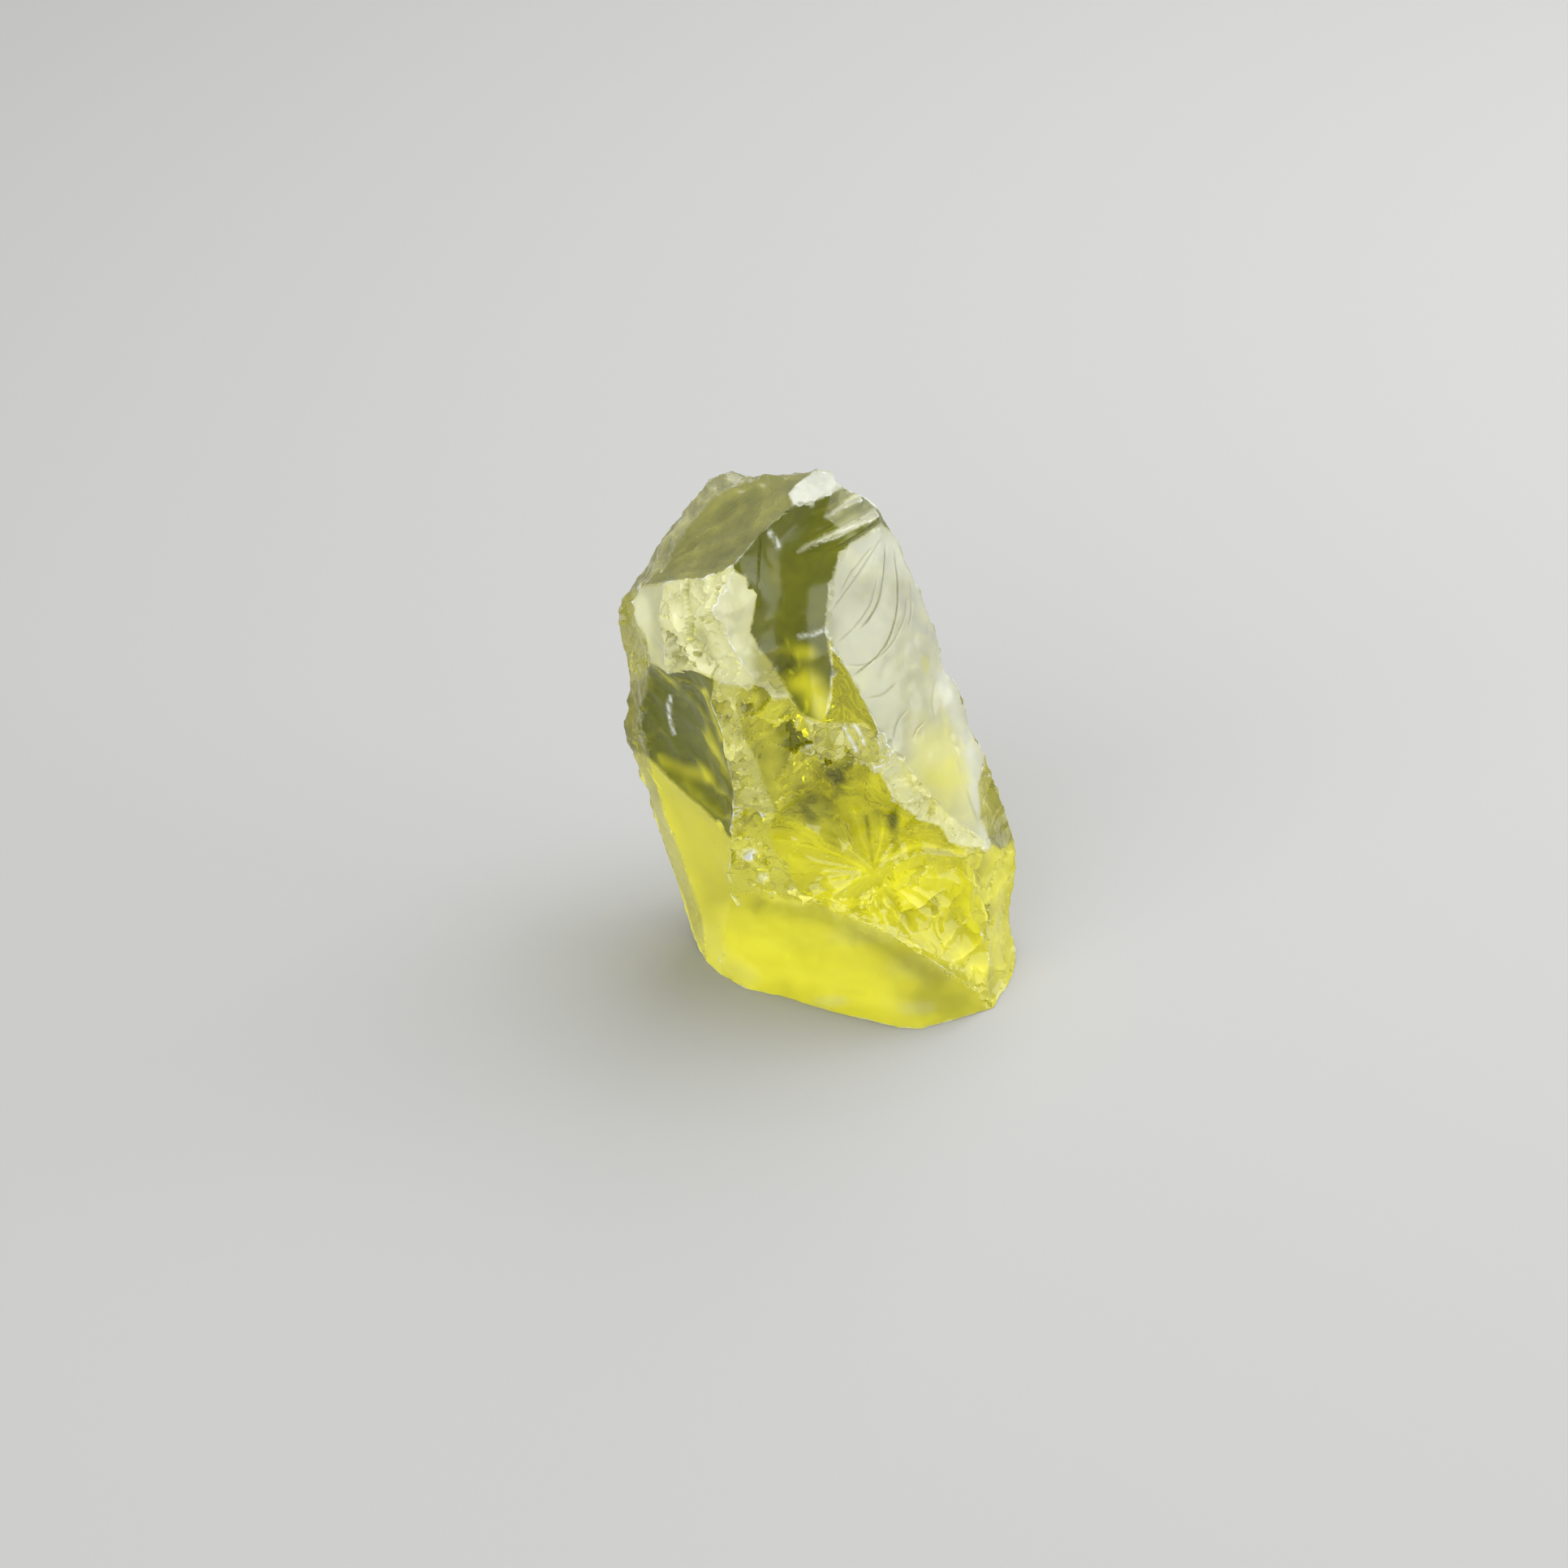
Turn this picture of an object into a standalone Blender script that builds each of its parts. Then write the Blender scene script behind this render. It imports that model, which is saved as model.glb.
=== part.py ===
"""A raw piece of prasiolite: one clear solid of quartz, bounded by broken faces.

Run with: blender --background --python part.py

The front of the stone is laid out as it looks to someone who faces it and looks down on it.
Each corner there has a place in that view, in millimetres across and up, and a distance back
from the stone's front. The faces between the corners are then cut finer, relaxed into smooth
curved breaks, hollowed as shell-like fractures are, and chipped along their edges.
"""

import math
import random

import bmesh
import bpy
from mathutils import Matrix, Vector, noise

# Driving dimensions
MM = 0.001
VIEW_HEIGHT = math.radians(32)  # how far the line of sight looks down
VIEW_DISTANCE = 300.0  # mm, from the eye to the point that it looks at
VIEW_ACROSS, VIEW_UP, VIEW_BACK = -2.33, 16.8, 10.0  # mm, where the line of sight meets the stone
EDGE_LENGTH = 1.6  # mm, the longest edge of a small triangle
RELAX_ROUNDS = 24
RIDGE_WANDER = 0.16  # mm, how far a ridge strays from a straight line
WANDER_SCALE = 0.55  # waves per mm
DISH_REACH = 4.0  # mm, from a ridge to where a hollow has its full depth
CHIP_SEED = 11
NOISE_SEED = 1795860469  # Blender's noise takes the time as its seed unless it is given one
STONE_COLOUR = (0.80, 0.80, 0.22, 1.0)
STONE_IOR = 1.544

# Corners that show in the view: mm across, mm up, mm back
SEEN = {
    # top, and the small bright face there
    "top_left": (-1.0, 37.8, 13.2),
    "crest": (0.1, 38.5, 13.8),
    "crest_right": (1.4, 38.1, 13.9),
    "cap_edge_a": (0.9, 36.7, 11.8),
    "cap_edge_b": (-0.4, 36.1, 10.8),
    "cap_edge_c": (-1.8, 35.9, 10.0),
    "cap_edge_d": (-2.0, 36.7, 10.9),
    # right outline, downwards
    "right_01": (2.0, 37.2, 13.8),
    "right_02": (3.3, 36.4, 13.6),
    "right_03": (4.3, 35.3, 13.7),
    "right_04": (5.2, 34.0, 13.8),
    "right_05": (6.0, 32.0, 13.9),
    "right_06": (7.0, 30.0, 14.0),
    "right_07": (8.0, 27.2, 13.9),
    "right_08": (8.6, 24.7, 13.5),
    "right_09": (9.8, 23.1, 13.2),
    "right_10": (10.4, 20.7, 12.9),
    "right_11": (11.4, 19.0, 12.6),
    "right_12": (12.3, 17.0, 12.3),
    "right_13": (12.8, 15.0, 12.0),
    "right_14": (13.4, 13.0, 11.5),
    "right_15": (13.6, 11.2, 11.0),
    "right_16": (13.15, 9.0, 10.4),
    "right_17": (13.05, 7.4, 10.0),
    "right_18": (13.5, 5.6, 9.2),
    # left outline, upwards
    "left_04": (-8.4, 6.2, 10.9),
    "left_05": (-8.9, 7.6, 11.8),
    "left_06": (-9.7, 10.2, 12.6),
    "left_07": (-10.2, 11.6, 12.8),
    "left_08": (-11.0, 14.0, 13.0),
    "left_09": (-12.0, 17.0, 13.0),
    "left_10": (-12.9, 19.2, 12.8),
    "left_11": (-13.35, 20.5, 12.6),
    "left_12": (-13.2, 22.0, 12.4),
    "left_13": (-12.95, 23.6, 12.2),
    "left_14": (-13.0, 25.0, 12.2),
    "left_15": (-13.4, 26.5, 12.2),
    "left_16": (-13.6, 28.6, 12.3),
    "left_17": (-13.4, 29.5, 12.6),
    "left_18": (-12.9, 30.1, 12.9),
    "left_19": (-12.0, 31.2, 13.6),
    "left_20": (-10.2, 34.3, 14.6),
    "left_21": (-9.0, 35.7, 15.0),
    "left_22": (-7.4, 37.6, 15.4),
    "left_23": (-6.0, 38.25, 15.4),
    "left_24": (-4.4, 37.75, 15.0),
    "left_25": (-3.6, 37.95, 14.7),
    "left_26": (-1.8, 37.7, 13.6),
    # ridge between the upper left slope and the great hollow
    "ridge_1": (-2.6, 35.1, 9.2),
    "ridge_2": (-3.8, 34.0, 8.2),
    "ridge_3": (-5.0, 32.8, 7.2),
    "ridge_4": (-6.1, 31.5, 6.2),
    # low ridge on the upper left slope
    "slope_1": (-10.4, 31.9, 11.2),
    "slope_2": (-9.0, 34.2, 12.6),
    "slope_3": (-7.0, 36.6, 13.9),
    # crusty ledge
    "ledge_top_1": (-8.0, 30.9, 6.3),
    "ledge_top_2": (-10.4, 30.6, 8.2),
    "ledge_top_3": (-12.0, 30.3, 10.8),
    "ledge_left_3": (-12.7, 29.4, 10.6),
    "ledge_left_2": (-12.6, 28.4, 9.8),
    "ledge_left_1": (-11.9, 27.0, 8.4),
    "ledge_low_0": (-11.5, 25.2, 7.6),
    "ledge_low_1": (-10.3, 24.3, 5.8),
    "ledge_low_2": (-9.0, 24.7, 4.3),
    "ledge_low_3": (-7.0, 24.0, 3.4),
    "ledge_low_4": (-5.6, 23.4, 3.5),
    "ledge_mid_1": (-10.9, 28.2, 6.8),
    "ledge_mid_2": (-7.2, 28.6, 3.6),
    "ledge_mid_3": (-6.0, 26.4, 3.5),
    "tongue_1": (-4.9, 30.8, 5.9),
    "tongue_2": (-4.2, 29.8, 5.5),
    "tongue_3": (-4.4, 28.3, 5.0),
    "tongue_4": (-4.7, 27.1, 4.6),
    # foot of the great hollow
    "hollow_1": (-3.2, 25.0, 5.0),
    "hollow_2": (-1.9, 22.8, 5.0),
    "hollow_3": (-0.9, 21.4, 4.8),
    "hollow_foot": (0.3, 21.0, 4.7),
    "fin_1": (0.8, 22.5, 4.9),
    "fin_2": (0.95, 24.8, 5.5),
    # leaf-shaped bright face
    "leaf_top": (4.3, 34.5, 12.4),
    "leaf_01": (2.2, 33.2, 10.0),
    "leaf_02": (1.35, 32.0, 8.8),
    "leaf_03": (1.0, 30.5, 7.8),
    "leaf_04": (0.6, 28.6, 6.8),
    "leaf_05": (0.6, 27.0, 6.1),
    "leaf_06": (1.1, 26.0, 5.8),
    "leaf_07": (2.0, 24.6, 5.4),
    "leaf_08": (3.2, 22.3, 4.9),
    "leaf_09": (4.2, 20.3, 4.7),
    "leaf_10": (5.4, 18.9, 4.9),
    "leaf_step_1": (7.0, 16.8, 5.6),
    "leaf_step_2": (8.6, 15.0, 6.4),
    "leaf_step_3": (10.2, 13.8, 7.6),
    "leaf_step_4": (11.8, 12.8, 9.1),
    "leaf_side_4": (11.1, 14.5, 9.9),
    "leaf_side_3": (10.9, 16.6, 10.5),
    "leaf_side_2": (11.2, 17.8, 11.4),
    "strip_0": (4.3, 17.6, 4.2),
    "strip_1": (5.2, 15.8, 4.0),
    "strip_2": (6.5, 14.7, 4.3),
    "strip_3": (8.3, 14.0, 5.4),
    "strip_4": (9.0, 12.8, 5.9),
    "strip_5": (11.5, 12.1, 8.2),
    "side_in": (12.5, 12.4, 9.9),
    # knot of chips at the middle
    "knot_right": (2.2, 21.0, 5.2),
    "knot_low": (2.6, 18.3, 4.9),
    "knot_foot": (0.5, 18.0, 4.3),
    "knot_left": (-0.3, 19.5, 4.3),
    # column under the tongue
    "column_top_2": (-4.2, 23.6, 4.0),
    "column_top_3": (-3.0, 22.6, 4.4),
    "column_low_1": (-0.2, 16.6, 4.7),
    "column_low_2": (-1.4, 16.0, 4.5),
    # spine, left edge and right edge
    "spine_left_5": (-7.3, 22.4, 3.3),
    "spine_left_4": (-6.6, 20.3, 3.3),
    "spine_left_3": (-6.0, 17.8, 3.6),
    "spine_left_2": (-5.7, 15.2, 4.1),
    "spine_left_1": (-5.8, 13.0, 4.8),
    "spine_right_4": (-5.6, 22.0, 3.2),
    "spine_right_3": (-5.2, 20.4, 3.1),
    "spine_right_2": (-4.3, 18.5, 3.4),
    "spine_right_1": (-3.6, 16.6, 3.8),
    "spine_foot": (-2.9, 14.9, 4.4),
    "chips_1": (-3.4, 13.0, 4.6),
    "chips_2": (-2.2, 11.0, 4.6),
    "chips_3": (-1.2, 9.5, 4.6),
    # left hollow and the faces under it
    "hollow_left_top": (-11.7, 24.2, 9.0),
    "hollow_left_rim": (-12.3, 20.4, 10.9),
    "flank_1": (-8.0, 15.2, 6.8),
    "flank_2": (-10.0, 17.0, 9.0),
    "flank_3": (-11.6, 18.6, 11.0),
    "flank_strip_1": (-10.6, 15.0, 10.6),
    "flank_strip_2": (-9.0, 10.8, 10.4),
    "flank_strip_3": (-7.9, 7.6, 9.6),
    "flank_right_1": (-6.1, 11.0, 5.7),
    "foot_corner": (-5.8, 9.3, 6.5),
    "flank_right_2": (-6.4, 6.8, 6.9),
    # top edge of the frosted front face
    "front_1": (-4.0, 9.4, 5.5),
    "front_2": (-2.2, 9.3, 4.6),
    "front_3": (0.4, 8.6, 3.2),
    "front_4": (2.0, 7.9, 2.4),
    "front_5": (4.0, 7.0, 1.5),
    "front_6": (6.0, 5.8, 0.9),
    "front_7": (8.0, 4.6, 0.9),
    "front_8": (10.0, 3.2, 1.6),
    "front_9": (11.4, 2.2, 2.6),
    # faces that meet at the star
    "star": (3.8, 10.9, 3.8),
    "star_left": (2.0, 9.7, 3.2),
    "seam_a1": (-1.5, 14.2, 4.7),
    "seam_a2": (0.2, 13.2, 4.3),
    "seam_a3": (2.0, 11.9, 3.9),
    "seam_b1": (1.2, 15.6, 4.6),
    "seam_b2": (2.0, 14.0, 4.2),
    "seam_b3": (3.0, 12.0, 3.9),
    "seam_c": (7.0, 12.0, 4.2),
    "end_1": (10.1, 11.8, 6.4),
    "end_2": (10.9, 8.7, 5.4),
    "end_3": (11.8, 5.0, 4.8),
}

# Corners that stand on the surface under the stone: mm across, mm up
STANDING = {
    "foot_01": (13.5, 4.4),
    "foot_02": (12.9, 3.0),
    "foot_03": (12.0, 1.5),
    "foot_04": (9.5, 0.7),
    "foot_05": (7.0, 0.05),
    "foot_06": (5.6, 0.1),
    "foot_07": (3.5, 0.6),
    "foot_08": (1.0, 1.2),
    "foot_09": (-0.9, 1.8),
    "foot_10": (-2.5, 2.3),
    "foot_11": (-5.0, 2.75),
    "foot_12": (-6.7, 3.75),
    "foot_13": (-7.6, 4.7),
}

# Corners behind the outline: mm right, mm back, mm above the surface
HIDDEN = {
    "heel_1": (-6.8, 16.2, 0.0),
    "heel_2": (-0.6, 19.2, 0.0),
    "heel_3": (6.4, 17.9, 0.0),
    "heel_4": (12.2, 12.3, 0.0),
    "rear_crown": (-3.6, 18.2, 32.2),
    "rear_ridge_1": (-5.4, 20.2, 25.6),
    "rear_ridge_2": (-2.2, 22.4, 17.4),
    "rear_ridge_3": (2.6, 22.4, 9.2),
    "rear_ridge_4": (5.0, 20.2, 3.2),
    "rear_left_1": (-10.2, 17.2, 20.4),
    "rear_left_2": (-8.2, 18.8, 8.2),
    "rear_right_1": (2.2, 17.8, 27.6),
    "rear_right_2": (8.0, 17.4, 14.4),
    "rear_right_3": (10.6, 15.2, 5.4),
}

# Each broken face: how far it is hollowed, in mm, and its corners in order
FACES = {
    "cap": (0.1, "top_left crest crest_right right_01 cap_edge_a cap_edge_b cap_edge_c cap_edge_d"),
    "slope": (
        0.3,
        "ridge_4 ridge_3 ridge_2 ridge_1 cap_edge_c cap_edge_d top_left left_26 left_25"
        " slope_3 slope_2 slope_1 ledge_top_3 ledge_top_2 ledge_top_1",
    ),
    "slope_rim": (
        0.0,
        "ledge_top_3 slope_1 slope_2 slope_3 left_25 left_24 left_23 left_22 left_21 left_20"
        " left_19 left_18",
    ),
    "great_hollow": (
        1.7,
        "cap_edge_c ridge_1 ridge_2 ridge_3 ridge_4 tongue_1 tongue_2 tongue_3 tongue_4 hollow_1"
        " hollow_2 hollow_3 hollow_foot fin_1 fin_2 leaf_05 leaf_04 leaf_03 leaf_02 leaf_01"
        " leaf_top right_04 right_03 right_02 right_01 cap_edge_a cap_edge_b",
    ),
    "fin": (
        0.5,
        "leaf_05 leaf_06 leaf_07 leaf_08 leaf_09 knot_right hollow_foot fin_1 fin_2",
    ),
    "leaf": (
        -0.35,
        "leaf_top leaf_01 leaf_02 leaf_03 leaf_04 leaf_05 leaf_06 leaf_07 leaf_08 leaf_09 leaf_10"
        " leaf_step_1 leaf_step_2 leaf_step_3 leaf_step_4 leaf_side_4 leaf_side_3 leaf_side_2"
        " right_11 right_10 right_09 right_08 right_07 right_06 right_05 right_04",
    ),
    "leaf_strip": (
        0.0,
        "leaf_09 leaf_10 leaf_step_1 leaf_step_2 leaf_step_3 leaf_step_4 strip_5 strip_4 strip_3"
        " strip_2 strip_1 strip_0",
    ),
    "right_side": (
        0.3,
        "right_11 right_12 right_13 right_14 side_in leaf_step_4 leaf_side_4 leaf_side_3"
        " leaf_side_2",
    ),
    "right_end": (
        0.3,
        "strip_5 leaf_step_4 side_in right_14 right_15 right_16 right_17 right_18 foot_01 foot_02"
        " foot_03 front_9 end_3 end_2 end_1",
    ),
    "knot": (
        0.2,
        "hollow_foot knot_right leaf_09 strip_0 knot_low knot_foot knot_left hollow_3",
    ),
    "star_upper": (
        0.6,
        "star seam_b3 seam_b2 seam_b1 knot_foot knot_low strip_0 strip_1 strip_2 strip_3 strip_4"
        " strip_5 end_1 seam_c",
    ),
    "star_lower": (
        0.6,
        "star seam_c end_1 end_2 end_3 front_9 front_8 front_7 front_6 front_5 front_4 front_3"
        " star_left",
    ),
    "star_left_face": (
        0.4,
        "star star_left front_3 chips_3 chips_2 chips_1 spine_foot seam_a1 seam_a2 seam_a3",
    ),
    "star_middle": (
        0.4,
        "star seam_a3 seam_a2 seam_a1 spine_foot column_low_2 column_low_1 knot_foot seam_b1"
        " seam_b2 seam_b3",
    ),
    "column": (
        0.3,
        "hollow_3 knot_left knot_foot column_low_1 column_low_2 spine_foot spine_right_1"
        " spine_right_2 spine_right_3 spine_right_4 ledge_low_4 column_top_2 column_top_3"
        " hollow_2",
    ),
    "ledge_left": (
        0.15,
        "ledge_top_3 ledge_top_2 ledge_mid_1 ledge_low_1 ledge_low_0 ledge_left_1 ledge_left_2"
        " ledge_left_3",
    ),
    "ledge": (
        0.3,
        "ledge_top_2 ledge_top_1 ridge_4 ledge_mid_2 ledge_mid_3 column_top_2 ledge_low_4"
        " ledge_low_3 ledge_low_2 ledge_low_1 ledge_mid_1",
    ),
    "tongue": (
        0.1,
        "ridge_4 tongue_1 tongue_2 tongue_3 tongue_4 hollow_1 hollow_2 column_top_3 column_top_2"
        " ledge_mid_3 ledge_mid_2",
    ),
    "left_rim": (
        0.2,
        "left_18 left_17 left_16 left_15 left_14 left_13 hollow_left_top ledge_low_0 ledge_left_1"
        " ledge_left_2 ledge_left_3 ledge_top_3",
    ),
    "left_hollow": (
        1.5,
        "hollow_left_top ledge_low_0 ledge_low_1 ledge_low_2 ledge_low_3 spine_left_5"
        " spine_left_4 spine_left_3 spine_left_2 spine_left_1 flank_1 flank_2 flank_3"
        " hollow_left_rim",
    ),
    "left_hollow_rim": (
        0.1,
        "left_13 left_12 left_11 left_10 flank_3 hollow_left_rim hollow_left_top",
    ),
    "flank": (
        0.2,
        "flank_3 flank_2 flank_1 spine_left_1 flank_right_1 foot_corner flank_right_2 foot_12"
        " foot_13 flank_strip_3 flank_strip_2 flank_strip_1",
    ),
    "flank_strip": (
        0.0,
        "left_10 flank_3 flank_strip_1 flank_strip_2 flank_strip_3 foot_13 left_04 left_05 left_06"
        " left_07 left_08 left_09",
    ),
    "spine": (
        0.0,
        "ledge_low_3 ledge_low_4 spine_right_4 spine_right_3 spine_right_2 spine_right_1"
        " spine_foot spine_left_2 spine_left_3 spine_left_4 spine_left_5",
    ),
    "chips": (
        0.2,
        "spine_left_2 spine_foot chips_1 chips_2 chips_3 front_3 front_2 front_1 foot_corner"
        " flank_right_1 spine_left_1",
    ),
    "front": (
        -0.25,
        "foot_corner front_1 front_2 front_3 front_4 front_5 front_6 front_7 front_8 front_9"
        " foot_03 foot_04 foot_05 foot_06 foot_07 foot_08 foot_09 foot_10 foot_11 foot_12"
        " flank_right_2",
    ),
    "base": (
        0.0,
        "foot_01 foot_02 foot_03 foot_04 foot_05 foot_06 foot_07 foot_08 foot_09 foot_10 foot_11"
        " foot_12 foot_13 heel_1 heel_2 heel_3 heel_4",
    ),
    "rear_top": (0.2, "left_22 left_23 left_24 left_25 left_26 top_left crest rear_crown"),
    "rear_shoulder": (
        0.9,
        "crest crest_right right_01 right_02 right_03 right_04 rear_right_1 rear_ridge_1"
        " rear_crown",
    ),
    "rear_left_top": (
        0.5,
        "left_16 left_17 left_18 left_19 left_20 left_21 left_22 rear_crown rear_ridge_1"
        " rear_left_1",
    ),
    "rear_left_side": (
        0.7,
        "left_08 left_09 left_10 left_11 left_12 left_13 left_14 left_15 left_16 rear_left_1"
        " rear_left_2",
    ),
    "rear_left_low": (
        0.3,
        "foot_13 left_04 left_05 left_06 left_07 left_08 rear_left_2 heel_1",
    ),
    "rear_middle": (1.1, "rear_left_1 rear_ridge_1 rear_ridge_2 rear_ridge_3 rear_left_2"),
    "rear_low": (0.6, "rear_left_2 rear_ridge_3 rear_ridge_4 heel_3 heel_2 heel_1"),
    "rear_right_top": (
        0.8,
        "right_04 right_05 right_06 right_07 right_08 right_09 rear_right_2 rear_ridge_2"
        " rear_ridge_1 rear_right_1",
    ),
    "rear_right_side": (
        0.5,
        "right_09 right_10 right_11 right_12 right_13 rear_right_3 rear_right_2",
    ),
    "rear_right_low": (0.8, "rear_ridge_2 rear_right_2 rear_right_3 rear_ridge_4 rear_ridge_3"),
    "rear_right_end": (
        0.3,
        "right_13 right_14 right_15 right_16 right_17 right_18 foot_01 heel_4 rear_right_3",
    ),
    "rear_heel": (0.2, "rear_right_3 heel_4 heel_3 rear_ridge_4"),
}

# Chips along the ridges: the two faces that meet there, how many, and their radius in mm
CHIPPED_RIDGES = [
    ("leaf", "rear_right_top", 8, 0.8),
    ("great_hollow", "leaf", 4, 0.7),
    ("slope", "great_hollow", 4, 0.8),
    ("slope_rim", "rear_top", 4, 1.0),
    ("slope_rim", "rear_left_top", 5, 1.0),
    ("left_rim", "rear_left_side", 3, 0.9),
    ("ledge", "left_hollow", 4, 0.9),
    ("spine", "left_hollow", 3, 0.9),
    ("spine", "column", 3, 0.8),
    ("leaf_strip", "star_upper", 4, 0.8),
    ("right_side", "rear_right_side", 3, 0.9),
    ("right_end", "rear_right_end", 5, 0.9),
    ("chips", "front", 3, 0.8),
    ("front", "star_lower", 3, 0.7),
    ("rear_shoulder", "rear_right_top", 3, 1.0),
    ("rear_middle", "rear_right_top", 2, 1.1),
    ("rear_left_side", "rear_middle", 3, 1.0),
]
CHIP_BITE = 0.3  # share of a chip's radius that it cuts into the ridge


def clear_scene():
    for obj in list(bpy.data.objects):
        bpy.data.objects.remove(obj)


def seen_corner(across, up, back):
    """The place, in mm, of a corner that shows at (across, up) in the view, that far back."""
    cos, sin = math.cos(VIEW_HEIGHT), math.sin(VIEW_HEIGHT)
    right = across - VIEW_ACROSS
    rise = up - VIEW_UP
    behind = back - VIEW_BACK
    level = (VIEW_UP - VIEW_BACK * sin) / cos
    above = (rise * (1 + behind * cos / VIEW_DISTANCE) - behind * sin) / (
        cos + rise * sin / VIEW_DISTANCE
    )
    nearer = above * sin - behind * cos
    return Vector((VIEW_ACROSS + right * (1 - nearer / VIEW_DISTANCE), back, level + above))


def standing_corner(across, up):
    """The place, in mm, of a corner at no height that shows at (across, up) in the view."""
    cos, sin = math.cos(VIEW_HEIGHT), math.sin(VIEW_HEIGHT)
    rise = up - VIEW_UP
    above = -(VIEW_UP - VIEW_BACK * sin) / cos
    behind = (rise * (1 - above * sin / VIEW_DISTANCE) - above * cos) / (
        sin - rise * cos / VIEW_DISTANCE
    )
    return seen_corner(across, up, VIEW_BACK + behind)


def corners():
    """Every corner's place by name, in mm."""
    places = {name: seen_corner(*view) for name, view in SEEN.items()}
    for name, view in STANDING.items():
        places[name] = standing_corner(*view)
        places[name].z = 0.0
    places.update({name: Vector(place) for name, place in HIDDEN.items()})
    return places


def cage(bm):
    """Builds the corners and the faces, each face with its own number in the layer "face"."""
    number = bm.faces.layers.int.new("face")
    made = {name: bm.verts.new(place) for name, place in corners().items()}
    for index, (_, names) in enumerate(FACES.values()):
        face = bm.faces.new([made[name] for name in names.split()])
        face[number] = index
    bmesh.ops.recalc_face_normals(bm, faces=bm.faces)
    if bm.calc_volume(signed=True) < 0:
        bmesh.ops.reverse_faces(bm, faces=bm.faces)
    return number


def is_ridge(edge, number):
    return len({face[number] for face in edge.link_faces}) > 1


def refine(bm, number):
    """Cuts every edge that is too long, and evens out the triangles inside each face."""
    while True:
        bmesh.ops.triangulate(bm, faces=bm.faces, quad_method="BEAUTY", ngon_method="BEAUTY")
        inside = [edge for edge in bm.edges if not is_ridge(edge, number)]
        bmesh.ops.beautify_fill(bm, faces=bm.faces, edges=inside)
        long_edges = [edge for edge in bm.edges if edge.calc_length() > EDGE_LENGTH]
        if not long_edges:
            return
        bmesh.ops.subdivide_edges(bm, edges=long_edges, cuts=1)
        relax(bm, number, 4)


def relax(bm, number, rounds):
    """Smooths the inside of each face and leaves the ridges where they are."""
    held = {vert for edge in bm.edges if is_ridge(edge, number) for vert in edge.verts}
    free = [vert for vert in bm.verts if vert not in held]
    for _ in range(rounds):
        bmesh.ops.smooth_vert(
            bm, verts=free, factor=0.6, use_axis_x=True, use_axis_y=True, use_axis_z=True
        )


def wander(bm, number):
    """Makes the ridges stray a little, as broken edges do. The base stays flat."""
    base = list(FACES).index("base")
    for vert in {vert for edge in bm.edges if is_ridge(edge, number) for vert in edge.verts}:
        shift = noise.noise_vector(vert.co * WANDER_SCALE) * RIDGE_WANDER
        if any(face[number] == base for face in vert.link_faces):
            shift.z = 0.0
        vert.co += shift


def hollow(bm, number):
    """Sinks the inside of each face by its depth, rising to the ridges around it."""
    bm.normal_update()
    depths = [depth for depth, _ in FACES.values()]
    rims = {index: set() for index in range(len(depths))}
    for edge in bm.edges:
        if is_ridge(edge, number):
            for face in edge.link_faces:
                rims[face[number]].update(edge.verts)
    moves = []
    for vert in bm.verts:
        touched = {face[number] for face in vert.link_faces}
        if len(touched) > 1:
            continue
        index = touched.pop()
        if depths[index] == 0.0:
            continue
        gap = min((vert.co - rim.co).length for rim in rims[index])
        share = min(1.0, gap / DISH_REACH)
        moves.append((vert, vert.normal * depths[index] * (1 - (1 - share) ** 2)))
    for vert, move in moves:
        vert.co -= move


def chip_places(bm, number):
    """Where each chip sits: its centre, its radius and the way that it points, in mm."""
    names = list(FACES)
    draw = random.Random(CHIP_SEED)
    places = []
    for first, second, count, radius in CHIPPED_RIDGES:
        pair = {names.index(first), names.index(second)}
        edges = [edge for edge in bm.edges if {face[number] for face in edge.link_faces} == pair]
        if not edges:
            raise ValueError(f"{first} and {second} share no ridge")
        edges.sort(key=lambda edge: tuple(round(value, 4) for value in edge.verts[0].co))
        for edge in draw.sample(edges, min(count, len(edges))):
            middle = (edge.verts[0].co + edge.verts[1].co) / 2
            outward = sum((face.normal for face in edge.link_faces), Vector()).normalized()
            size = radius * draw.uniform(0.7, 1.3)
            bite = size * (1 - CHIP_BITE * draw.uniform(0.7, 1.4))
            places.append((middle + outward * bite, size, outward, draw.uniform(0, math.tau)))
    return places


def chip_cutter(places):
    """One mesh that holds a flattened ball for each chip."""
    bm = bmesh.new()
    for centre, radius, outward, turn in places:
        facing = outward.to_track_quat("Z", "Y").to_matrix().to_4x4()
        place = (
            Matrix.Translation(centre)
            @ facing
            @ Matrix.Rotation(turn, 4, "Z")
            @ Matrix.Diagonal((radius * 1.25, radius * 0.9, radius, 1.0))
        )
        bmesh.ops.create_icosphere(bm, subdivisions=2, radius=1.0, matrix=place)
    bmesh.ops.scale(bm, vec=(MM, MM, MM), verts=bm.verts)
    mesh = bpy.data.meshes.new("chips")
    bm.to_mesh(mesh)
    bm.free()
    cutter = bpy.data.objects.new("chips", mesh)
    bpy.context.scene.collection.objects.link(cutter)
    cutter.hide_render = True
    cutter.display_type = "WIRE"
    return cutter


def stone_material():
    material = bpy.data.materials.new("prasiolite")
    material.use_nodes = True
    shader = material.node_tree.nodes["Principled BSDF"]
    shader.inputs["Base Color"].default_value = STONE_COLOUR
    shader.inputs["Roughness"].default_value = 0.08
    shader.inputs["Metallic"].default_value = 0.0
    shader.inputs["IOR"].default_value = STONE_IOR
    shader.inputs["Transmission Weight"].default_value = 1.0
    return material


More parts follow.
